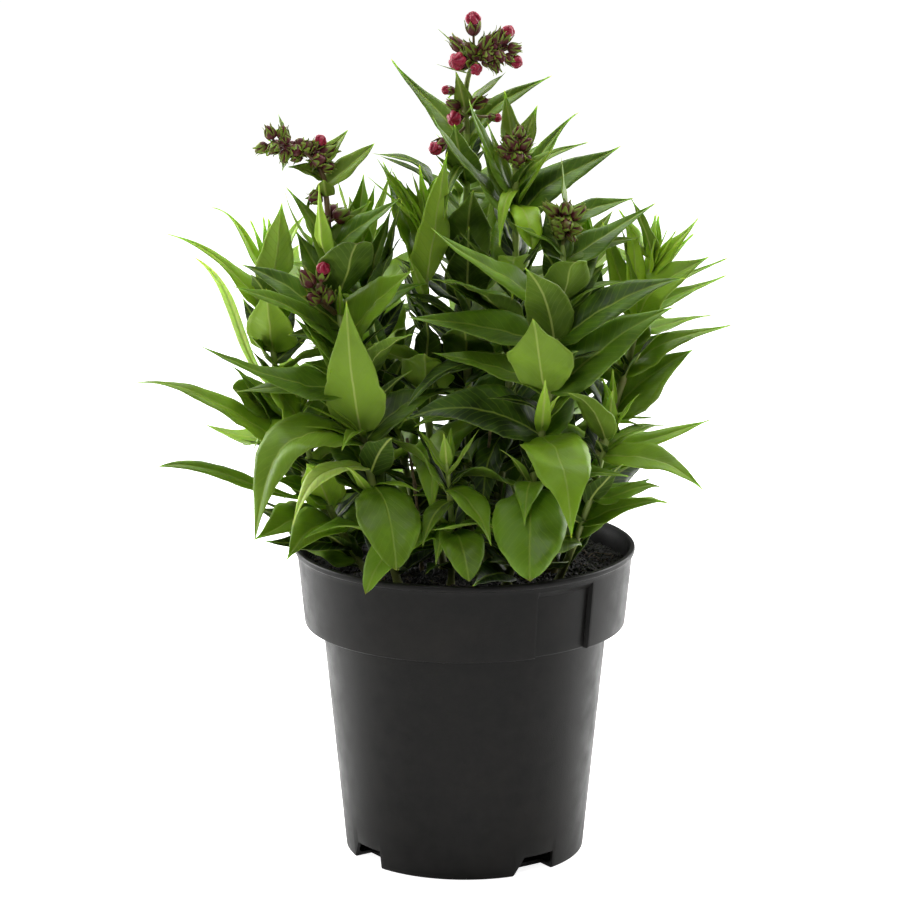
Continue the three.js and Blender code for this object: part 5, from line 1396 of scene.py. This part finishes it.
def calyxMesh(name, profile, tipLength, core):
    points, faces, along, across = [], [], [], []
    for k in range(calyx["sepals"]):
        middle = math.tau * k / calyx["sepals"]
        rows = []
        for r in range(calyx["rows"]):
            t = r / (calyx["rows"] - 1)
            h = t * tipLength
            radius = profile(t) * (1.0 + calyx["overlap"] * (k % 2))
            half = calyx["spread"] * min(1.0, 0.35 + 3 * t) * max(0.04, 1 - t ** 2.2)
            row = []
            for j in range(calyx["across"]):
                share = 2 * j / (calyx["across"] - 1) - 1
                angle = middle + half * share
                keel = 1 + calyx["keel"] * (1 - abs(share)) * (1 - t)
                row.append(Vector((radius * keel * math.cos(angle), radius * keel * math.sin(angle), h)))
            rows.append(row)
        sheet, sheetFaces = closedSheet(rows, calyx["sheet"], lambda p: -Vector((p.x, p.y, 0)).normalized())
        base = len(points)
        points += sheet
        faces += [tuple(base + corner for corner in face) for face in sheetFaces]
        for side in (0, 1):
            for r in range(calyx["rows"]):
                for j in range(calyx["across"]):
                    along.append(r / (calyx["rows"] - 1))
                    across.append(2 * j / (calyx["across"] - 1) - 1)
    sides, base = calyx["coreSides"], len(points)
    for h, radius in core:
        for k in range(sides):
            angle = math.tau * k / sides
            points.append(Vector((radius * math.cos(angle), radius * math.sin(angle), h)))
            along.append(h * 0.6)
            across.append(0.0)
    faces += tubeFaces(base, len(core), sides)
    faces.append(tuple(base + (len(core) - 1) * sides + k for k in range(sides)))
    mesh = budMesh(name, points, faces, along, across)
    mesh.validate()
    return mesh


# A smooth profile through stops of height and radius
def curveThrough(stops):
    def at(t):
        for (t0, r0), (t1, r1) in zip(stops, stops[1:]):
            if t <= t1:
                u = (t - t0) / (t1 - t0)
                return mix(r0, r1, u * u * (3 - 2 * u))
        return stops[-1][1]
    return at


closedBud = newPiece("closedBudShape", calyxMesh(
    "closedBudShape",
    curveThrough(((0, 0.28), (0.14, 0.82), (0.34, 1.0), (0.6, 0.86), (0.8, 0.66), (1, 0.86))),
    1.0,
    ((0.02, 0.2), (0.1, 0.66), (0.3, 0.86), (0.55, 0.76), (0.78, 0.5), (0.95, 0.14)),
))
openCup = newPiece("openCupShape", calyxMesh(
    "openCupShape",
    curveThrough(((0, 0.28), (0.2, 0.78), (0.5, 0.98), (0.8, 1.04), (1, 1.12))),
    0.66,
    ((0.02, 0.2), (0.1, 0.6), (0.3, 0.8), (0.42, 0.8)),
))
bodyRule = dict(most=0.75, long=3)


# Where a bud's body starts on the way from its stalk to its tip, and the body's way
def budBody(root, tip, radius):
    way = tip - root
    share = min(bodyRule["most"], radius * bodyRule["long"] / way.length)
    return tip - way * share, way * share


# Catmull-Rom course through a head's points, as in the solid
def courseAt(points, t):
    count = len(points)
    place = (count - 1) * t
    i = min(int(place), count - 2)
    w = place - i
    p1, p2 = points[i], points[i + 1]
    p0 = points[i - 1] if i > 0 else p1 + (p1 - p2)
    p3 = points[i + 2] if i < count - 2 else p2 + (p2 - p1)
    knots = [max((b - a).length ** 0.5, 1e-4) for a, b in ((p0, p1), (p1, p2), (p2, p3))]
    d0, d1, d2 = knots
    t1 = ((p1 - p0) / d0 - (p2 - p0) / (d0 + d1) + (p2 - p1) / d1) * d1
    t2 = ((p2 - p1) / d1 - (p3 - p1) / (d1 + d2) + (p3 - p2) / d2) * d1
    return p1 + t1 * w + (p1 * -3 + p2 * 3 - t1 * 2 - t2) * w * w + (p1 * 2 - p2 * 2 + t1 + t2) * w ** 3


# Flower heads: stalk, pedicels, calyces and small leaves
headLook = dict(
    radius=1.8, tipRadius=1.1, steps=24, pedicel=0.8, pedicelSteps=6, sag=0.06, openSize=0.92, bractLength=(4, 7.5),
    bractWidth=0.5,
)
# How green each head's calyces are, and how purple its stalk is
headTint = dict(centre=(0.3, 0.15), left=(0.42, 0.9), rose=(0.4, 0.45), right=(0.6, 0.45), side=(0.4, 0.9))
# Small buds that fill each head: how many, and the part of the stalk they stand on
fillBuds = dict(centre=(12, 0.55, 1), left=(10, 0.55, 1), rose=(5, 0.2, 0.9), right=(6, 0.2, 0.9), side=(2, 0.4, 1))
crimson = []
for index, (name, head) in enumerate(heads.items()):
    course = [Vector(point) for point in head["course"]]
    green, purple = headTint[name]
    line, thickness, along, blush = [], [], [], []
    for i in range(headLook["steps"] + 1):
        t = i / headLook["steps"]
        line.append(courseAt(course, t) * mm)
        thickness.append(mix(headLook["radius"], headLook["tipRadius"], t) * mm)
        along.append(0.5)
        blush.append(purple)
    lines = [line]
    rng = random.Random(60 + index)
    count, low, high = fillBuds[name]
    for i in range(count):
        start = rng.uniform(low, high)
        way = Vector((rng.uniform(-1, 1), rng.uniform(-1, 0.8), rng.uniform(-0.7, 1))).normalized()
        tip = courseAt(course, start) + way * rng.uniform(7, 10.5)
        head["buds"].append(dict(start=start, tip=tuple(tip), radius=rng.uniform(2.6, 3.6)))
    for bud in head["buds"]:
        root, tip = courseAt(course, bud["start"]), Vector(bud["tip"])
        foot, way = budBody(root, tip, bud["radius"])
        line = []
        for i in range(headLook["pedicelSteps"] + 1):
            t = i / headLook["pedicelSteps"]
            sag = math.sin(math.pi * t) * headLook["sag"] * (foot - root).length
            line.append((root + (foot + way * 0.04 - root) * t - up * sag) * mm)
            thickness.append(headLook["pedicel"] * mix(1.15, 0.9, t) * mm)
            along.append(0.5)
            blush.append(0.8)
        lines.append(line)
    stalk = stalkPiece("stalk", lines, thickness, stemSkin, 8, {"alongShare": along, "blush": blush})
    parts = [stalk]
    for shape, isOpen in ((closedBud, False), (openCup, True)):
        chosen = [bud for bud in head["buds"] if bool(bud.get("open")) == isOpen]
        if not chosen:
            continue
        points, ways, radii, greens = [], [], [], []
        for bud in chosen:
            root, tip = courseAt(course, bud["start"]), Vector(bud["tip"])
            foot, way = budBody(root, tip, bud["radius"])
            points.append(foot * mm)
            ways.append(way * mm)
            radii.append(bud["radius"] * (headLook["openSize"] if isOpen else 1.0) * mm)
            greens.append(green + rng.uniform(-0.15, 0.2))
            if isOpen:
                crimson.append((foot, way, bud["radius"]))
        mesh = lineMesh("buds", [[point] for point in points], {
            "way": ("FLOAT_VECTOR", ways), "budRadius": ("FLOAT", radii), "greenness": ("FLOAT", greens),
        })
        buds = newPiece("buds", mesh)
        parts.append(grown(buds, standingBuds, {"Bud": shape, "Seed": 3 + index, "Skin": calyxSkin}))
    bracts = []
    for bract in head["bracts"]:
        bracts.append(dict(
            bract, kind="front", root=courseAt(course, bract["start"]), tip=Vector(bract["tip"]),
            tone=0.3, youthAndLight=0.35, blush=0.15,
        ))
    for bud in head["buds"]:
        foot, way = budBody(courseAt(course, bud["start"]), Vector(bud["tip"]), bud["radius"])
        for i in range(rng.choice((1, 1, 2))):
            aside = Vector((rng.uniform(-1, 1), rng.uniform(-1, 1), rng.uniform(-1, 1)))
            aside = (way.normalized() * rng.uniform(0.3, 0.9) + aside.normalized()).normalized()
            length = rng.uniform(*headLook["bractLength"])
            bracts.append(dict(
                kind="small", root=foot, tip=foot + aside * length, wide=length * headLook["bractWidth"], rise=-0.1,
                fall=0.1, fold=0.35, face=rng.uniform(-60, 60), tone=0.4, youthAndLight=rng.uniform(0.1, 0.6),
                blush=rng.choice((0.0, 0.2, 0.6)),
            ))
    if bracts:
        parts.append(bladePiece("bracts", bracts, 0.35, 80 + index))
    settle(joined("head_" + name + "_buds", parts), "calyx", "head_" + name)
print("flower heads made")

# Crimson buds: five petals folded over each other, a crease between each two
petals = dict(sides=40, rows=18, lobes=5, crease=0.28, gap=0.35, spiral=0.9, start=0.5)
petalProfile = curveThrough(((0, 0.8), (0.2, 0.95), (0.42, 1.0), (0.66, 0.84), (0.86, 0.5), (1, 0.08)))
for index, (foot, way, radius) in enumerate(crimson):
    start = foot + way * petals["start"] + way.normalized() * petals["gap"]
    rise = foot + way - start
    forward = rise.normalized()
    across = forward.orthogonal().normalized()
    over = forward.cross(across)
    points, along, creases = [], [], []
    for r in range(petals["rows"]):
        t = r / (petals["rows"] - 1)
        for k in range(petals["sides"]):
            angle = math.tau * k / petals["sides"]
            fold = petals["lobes"] * (angle + petals["spiral"] * t) / 2
            lobe = abs(math.sin(fold + index)) ** 0.5
            size = radius * petalProfile(t) * (1 - petals["crease"] * (1 - lobe) * (0.6 + 1.6 * t))
            spot = start + rise * t + across * size * math.cos(angle) + over * size * math.sin(angle)
            points.append(spot * mm)
            along.append(t)
            creases.append(lobe)
    sides = petals["sides"]
    faces = tubeFaces(0, petals["rows"], sides)
    points.append((start + rise) * mm)
    along.append(1.0)
    creases.append(0.5)
    last = (petals["rows"] - 1) * sides
    faces += [(last + k, last + (k + 1) % sides, len(points) - 1) for k in range(sides)]
    mesh = budMesh("petals", points, faces, along, creases)
    mesh.shade_smooth()
    mesh.materials.append(petalSkin)
    settle(newPiece(f"petals_{index + 1}_folded", mesh), "petal", f"petals_{index + 1}")
for shape in (closedBud, openCup):
    bpy.data.objects.remove(shape)
print("crimson buds made")

# Pot: one turned skin with the label panel set back, and drain notches cut at its foot
pot = dict(
    height=175, rimRadius=95, collarTopRadius=94, collarFootRadius=89.7, ledgeHeight=131, bodyTopRadius=79.8,
    footRadius=67, wall=1.8, floor=2.4, beadHeight=3.4, beadWidth=2.8, sides=180,
)
# The panel, from start to end in degrees to the right of the front; frame widens it on the inside
panel = dict(start=25, end=48, depth=3, frame=1.2)
notch = dict(count=4, first=34.5, width=27, slant=7, height=10.5, reach=12)
potEdge = dict(width=0.35, segments=2, bevelOver=50, sharpOver=28)


def collarRadius(z):
    share = (z - pot["ledgeHeight"]) / (pot["height"] - pot["ledgeHeight"])
    return pot["collarFootRadius"] + (pot["collarTopRadius"] - pot["collarFootRadius"]) * share


def bodyRadius(z):
    return pot["footRadius"] + (pot["bodyTopRadius"] - pot["footRadius"]) * z / pot["ledgeHeight"]


# 1 where the wall is set back for the panel, widened by a margin in degrees, and 0 elsewhere
def panelShare(angle, margin):
    low, high = panel["start"] - margin, panel["end"] + margin
    return 1.0 if low <= angle <= high else 0.0


# Turns every face outwards, once points nearer than merge are made one
def faceOut(mesh, merge=0):
    shape = bmesh.new()
    shape.from_mesh(mesh)
    if merge:
        bmesh.ops.remove_doubles(shape, verts=shape.verts, dist=merge)
    bmesh.ops.recalc_face_normals(shape, faces=shape.faces)
    shape.to_mesh(mesh)
    shape.free()


def arc(centre, size, start, end, count):
    turns = [math.radians(mix(start, end, i / count)) for i in range(count + 1)]
    return [(centre[0] + size * math.cos(a), centre[1] + size * math.sin(a)) for a in turns]


bead = pot["height"] - pot["beadHeight"]
ledge = pot["ledgeHeight"]
inWall = collarRadius(ledge) - pot["wall"]
outerRow = (
    [(0, 0.9), (20, 0.5), (pot["footRadius"] - 8, 0), (pot["footRadius"] - 1.2, 0)]
    + arc((bodyRadius(1.2) - 1.2, 1.2), 1.2, -90, 0, 4)[1:]
    + [(bodyRadius(z), z) for z in (20, 50, 80, 110, ledge - 1.5)]
    + [(bodyRadius(ledge) + 0.9, ledge - 0.2), (collarRadius(ledge) - 1.4, ledge)]
    + arc((collarRadius(ledge) - 0.9, ledge + 0.9), 0.9, -90, 0, 4)
    + [(collarRadius(z), z) for z in (138, 150, 160, 165.5)]
)
rimRow = (
    [(collarRadius(168.9), 168.9), (collarRadius(bead - 1), bead - 1), (collarRadius(bead) + 0.25, bead - 0.2)]
    + arc((pot["rimRadius"] - 1.1, bead + 1.1), 1.1, -60, 0, 3)
    + arc((pot["rimRadius"] - 1.1, pot["height"] - 1.1), 1.1, 0, 90, 4)
    + arc((pot["rimRadius"] - pot["beadWidth"] + 0.8, pot["height"] - 0.8), 0.8, 90, 180, 3)
    + [(pot["rimRadius"] - pot["beadWidth"], bead + 0.6), (collarRadius(bead - 1) - pot["wall"], bead - 0.6)]
)
innerRow = [
    (collarRadius(165) - pot["wall"], 165), (collarRadius(150) - pot["wall"], 150), (inWall, ledge + 3),
    (inWall - 0.8, ledge + pot["wall"] + 0.3), (bodyRadius(ledge) - pot["wall"] + 0.8, ledge + pot["wall"]),
    (bodyRadius(ledge) - pot["wall"], ledge + 0.6), (bodyRadius(80) - pot["wall"], 80),
    (bodyRadius(20) - pot["wall"], 20), (bodyRadius(4) - pot["wall"], 4.4),
    (bodyRadius(4) - pot["wall"] - 2, pot["floor"]), (0, pot["floor"]),
]
profile = outerRow + rimRow + innerRow
# The points of the collar that are set back for the panel, and the first of the rim above it
setBack = {i for i, (r, z) in enumerate(outerRow) if z > ledge - 0.1 and r > bodyRadius(ledge) + 2}
setBack.add(len(outerRow))
# Two lines of points close beside each side of the panel keep its corners sharp
angles = sorted(
    {round(360 * k / pot["sides"], 3) for k in range(pot["sides"])}
    | {panel["start"] - 0.12, panel["start"] + 0.12, panel["end"] - 0.12, panel["end"] + 0.12}
    | {panel["start"] - 1.3, panel["start"] - 1.1, panel["end"] + 1.1, panel["end"] + 1.3}
)
points, faces = [], []
rows = len(profile)
for angle in angles:
    turn = math.radians(-90 + angle)
    for i, (r, z) in enumerate(profile):
        size = r
        if i in setBack:
            size = r - panel["depth"] * panelShare(angle, 0)
            if i == len(outerRow) and panelShare(angle, 0):
                size = r - 0.05
        if i >= len(outerRow) + len(rimRow) and z > ledge + 2:
            size = r - panel["depth"] * panelShare(angle, panel["frame"])
        points.append((size * math.cos(turn) * mm, size * math.sin(turn) * mm, z * mm))
for k in range(len(angles)):
    nextRow = (k + 1) % len(angles)
    for i in range(rows - 1):
        faces.append((k * rows + i, nextRow * rows + i, nextRow * rows + i + 1, k * rows + i + 1))
mesh = newMesh("pot", points, faces)
faceOut(mesh, 0.002 * mm)
potPiece = newPiece("pot_moulded", mesh)
for k in range(notch["count"]):
    turn = math.radians(notch["first"] + 360 / notch["count"] * k)
    half = notch["width"] / 2
    near, far = -(pot["footRadius"] - notch["reach"]), -(pot["footRadius"] + 5)
    corners = [(-half, -1), (half, -1), (half, notch["height"]), (-half + notch["slant"], notch["height"])]
    block = newMesh(
        "notchBlock", [(x * mm, y * mm, z * mm) for y in (near, far) for x, z in corners],
        [(0, 1, 2, 3), (7, 6, 5, 4), (0, 4, 5, 1), (1, 5, 6, 2), (2, 6, 7, 3), (3, 7, 4, 0)],
    )
    block.transform(Matrix.Rotation(turn, 4, "Z"))
    faceOut(block)
    cutter = newPiece("notchBlock", block)
    cut = potPiece.modifiers.new("notch", "BOOLEAN")
    cut.operation = "DIFFERENCE"
    cut.solver = "EXACT"
    cut.object = cutter
    grown(potPiece)
    bpy.data.objects.remove(cutter)
potPiece.data.materials.clear()
potPiece.data.materials.append(potSkin)
edges = potPiece.modifiers.new("edges", "BEVEL")
edges.width = potEdge["width"] * mm
edges.segments = potEdge["segments"]
edges.limit_method = "ANGLE"
edges.angle_limit = math.radians(potEdge["bevelOver"])
grown(potPiece)
potPiece.data.shade_smooth()
potPiece.data.set_sharp_from_angle(angle=math.radians(potEdge["sharpOver"]))
settle(potPiece, "pot_plastic", "pot")
print("pot made")

# Compost: an uneven crumbly top on the pot's inside, with loose crumbs and fibre on it
compost = dict(rings=90, sides=200, relief=1.6, crumb=1.5, gap=0.35, perSquare=230000, smallest=0.4, largest=1.5)


def soilHeight(x, y):
    swell = math.sin(x * 0.11 + 1.3) * math.cos(y * 0.13) + 0.6 * math.sin(x * 0.27 - y * 0.21)
    crumbs = noise.fractal(Vector((x * 0.16, y * 0.16, 3.1)), 0.9, 2.2, 4)
    return soilTop + 0.5 * compost["relief"] * swell + compost["crumb"] * crumbs


def soilEdge(angle):
    edge = collarRadius(soilTop) - pot["wall"] - compost["gap"]
    return edge - panel["depth"] * panelShare(angle, panel["frame"] + 0.6)


points, faces = [], []
for k in range(compost["sides"]):
    angle = 360 * k / compost["sides"]
    turn = math.radians(-90 + angle)
    edge = soilEdge(angle)
    for i in range(compost["rings"]):
        size = edge * (1 - i / compost["rings"])
        x, y = size * math.cos(turn), size * math.sin(turn)
        points.append((x * mm, y * mm, soilHeight(x, y) * mm))
    # Its sides and foot, which the pot hides
    hidden = (
        (edge, 150), (inWall - 0.4 - panel["depth"] * panelShare(angle, 2), 137), (72, 133.4), (64.5, 12), (40, 4),
    )
    points += [(r * math.cos(turn) * mm, r * math.sin(turn) * mm, z * mm) for r, z in hidden]
rows = compost["rings"] + len(hidden)
centre = len(points)
points += [(0, 0, soilHeight(0, 0) * mm), (0, 0, 4 * mm)]
for k in range(compost["sides"]):
    nextRow = (k + 1) % compost["sides"]
    for i in range(compost["rings"] - 1):
        faces.append((k * rows + i, nextRow * rows + i, nextRow * rows + i + 1, k * rows + i + 1))
    faces.append((k * rows + compost["rings"] - 1, nextRow * rows + compost["rings"] - 1, centre))
    chain = [0] + list(range(compost["rings"], rows))
    for a, b in zip(chain, chain[1:]):
        faces.append((k * rows + a, k * rows + b, nextRow * rows + b, nextRow * rows + a))
    faces.append((k * rows + rows - 1, centre + 1, nextRow * rows + rows - 1))
mesh = newMesh("compost", points, faces)
shape = bmesh.new()
shape.from_mesh(mesh)
bmesh.ops.recalc_face_normals(shape, faces=shape.faces)
shape.to_mesh(mesh)
# The crumbs lie on its top alone
ground = bpy.data.meshes.new("ground")
bmesh.ops.delete(shape, geom=[face for face in shape.faces if face.normal.z < 0.3], context="FACES")
shape.to_mesh(ground)
shape.free()
soilPiece = newPiece("compost", mesh)
mesh.materials.append(peat)
crumbs = newPiece("crumbs", ground)
grown(crumbs, compostCrumbs, {
    "Crumbs per m2": float(compost["perSquare"]), "Smallest": compost["smallest"] * mm,
    "Largest": compost["largest"] * mm, "Seed": 12, "Skin": peat,
})
# Fibres that lie among the crumbs, none past edge from the middle
fibre = dict(count=150, within=84, edge=85, length=(4, 15), radius=(0.18, 0.5), bend=(-0.25, 0.25), steps=8, seed=77)
rng = random.Random(fibre["seed"])
lines, thickness = [], []
for i in range(fibre["count"]):
    size, turn = fibre["within"] * math.sqrt(rng.random()), rng.uniform(0, math.tau)
    x, y = size * math.cos(turn), size * math.sin(turn)
    way, bend = rng.uniform(0, math.tau), rng.uniform(*fibre["bend"])
    reach, thick = rng.uniform(*fibre["length"]), rng.uniform(*fibre["radius"])
    line = []
    for k in range(fibre["steps"]):
        x += math.cos(way) * reach / fibre["steps"]
        y += math.sin(way) * reach / fibre["steps"]
        way += bend
        if math.hypot(x, y) > fibre["edge"]:
            x, y = x * fibre["edge"] / math.hypot(x, y), y * fibre["edge"] / math.hypot(x, y)
        line.append(Vector((x, y, soilHeight(x, y) + 1.0 + 0.5 * math.sin(k))) * mm)
        thickness.append(thick * mm)
    lines.append(line)
fibres = stalkPiece("fibres", lines, thickness, fibreSkin, 5)
settle(joined("compost_crumbly", [soilPiece, crumbs, fibres]), "compost", "soil")
print("compost made")

# Old bare stems, with a knot here and there
dryForm = dict(steps=40, buried=10, taper=0.7, knotEvery=11, knot=0.35, wobble=0.15, sides=10)
dryStems = [
    dict(foot=(-24, -16), bow=(-25, -19), top=(-32, -22, 240), radius=1.1),
    dict(foot=(2, -24), bow=(11, -29), top=(14, -34, 252), radius=1.2),
]
for index, stem in enumerate(dryStems):
    rng = random.Random(90 + index)
    line, thickness = [], []
    steps, buried, wobble = dryForm["steps"], dryForm["buried"], dryForm["wobble"]
    for i in range(steps + 1):
        z = soilTop - buried + (stem["top"][2] - soilTop + buried) * i / steps
        centre = stemAt(stem, z) if z > soilTop else Vector((*stem["foot"], z))
        line.append((centre + Vector((rng.uniform(-wobble, wobble), rng.uniform(-wobble, wobble), 0))) * mm)
        knot = dryForm["knot"] if i % dryForm["knotEvery"] == 6 else 0
        thickness.append(stem["radius"] * mix(1, dryForm["taper"], i / steps) * (1 + knot) * mm)
    piece = stalkPiece("dry", [line], thickness, drySkin, dryForm["sides"])
    piece.name = f"dry_stem_{index + 1}_bare"
    settle(piece, "dry_stem", f"dry_stem_{index + 1}")
print("dry stems made")

# Floor and soft light: a white sweep lit from behind and above, and a weaker light in front
studio = dict(
    floor="#fbfbfa", glow=0.25, seen=0.9, front=0.02, back=0.22, frontEdge=-1.1, reach=30, below=-0.0002,
    aim=(0, 0, 0.25),
)
lights = dict(
    top=dict(place=(0.0, 0.35, 1.75), size=1.3, power=32),
    left=dict(place=(-1.35, 0.75, 0.75), size=1.1, power=36),
    right=dict(place=(1.35, 0.75, 0.75), size=1.1, power=36),
    front=dict(place=(-0.7, -1.9, 1.5), size=0.8, power=15),
)
reach, nearEdge = studio["reach"], studio["frontEdge"]
corners = ((-reach, nearEdge), (reach, nearEdge), (reach, reach), (-reach, reach))
mesh = newMesh("paleFloor", [(x, y, studio["below"]) for x, y in corners], [(0, 1, 2, 3)])
floor = newPiece("paleFloor", mesh)
paper, tree, shader = newMaterial("whitePaper")
direct = addNode(tree, "ShaderNodeLightPath", out="Is Camera Ray")
shine = addNode(
    tree, "ShaderNodeMapRange", {}, {"Value": direct, "To Min": studio["glow"], "To Max": studio["seen"]}
)
setInputs(tree, shader, {
    "Base Color": toLinear(studio["floor"]), "Roughness": 0.8, "Specular IOR Level": 0.1,
    "Emission Color": (1, 1, 1, 1), "Emission Strength": shine,
})
mesh.materials.append(paper)
floor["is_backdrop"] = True
world = bpy.data.worlds.new("whiteSweep")
bpy.context.scene.world = world
world.use_nodes = True
sky = world.node_tree
way = addNode(sky, "ShaderNodeTexCoord", out="Generated")
depth = addNode(sky, "ShaderNodeSeparateXYZ", {}, {0: way}, out=1)
around = addNode(
    sky, "ShaderNodeMapRange", {"interpolation_type": "SMOOTHSTEP"},
    {"Value": depth, "From Min": -0.6, "From Max": 0.5, "To Min": studio["front"], "To Max": studio["back"]},
)
seen = addNode(sky, "ShaderNodeLightPath", out="Is Camera Ray")
brightness = addNode(sky, "ShaderNodeMath", {"operation": "MAXIMUM"}, {0: seen, 1: around})
setInputs(sky, sky.nodes["Background"], {"Color": (1, 1, 1, 1), "Strength": brightness})
for name, look in lights.items():
    lamp = bpy.data.lights.new(name + "Light", "AREA")
    lamp.shape = "SQUARE"
    lamp.size = look["size"]
    lamp.energy = look["power"]
    light = bpy.data.objects.new(name + "Light", lamp)
    light.location = look["place"]
    light.rotation_euler = (Vector(studio["aim"]) - light.location).to_track_quat("-Z", "Y").to_euler()
    bpy.context.scene.collection.objects.link(light)

# Camera where the photograph's was: about two metres away, looking a little down
view = dict(place=(-8.3, -1995, 687), down=12.95, lens=147.4)
lens = bpy.data.cameras.new("viewer")
lens.sensor_width = 36
lens.lens = view["lens"]
camera = bpy.data.objects.new("viewer", lens)
camera.location = Vector(view["place"]) * mm
camera.rotation_euler = (math.radians(90 - view["down"]), 0, 0)
bpy.context.scene.collection.objects.link(camera)
bpy.context.scene.camera = camera
bpy.context.scene.view_settings.view_transform = "Standard"

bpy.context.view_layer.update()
total = sum(len(piece.data.loop_triangles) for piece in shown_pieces() if not piece.data.calc_loop_triangles())
print("pieces ready, triangles:", total)
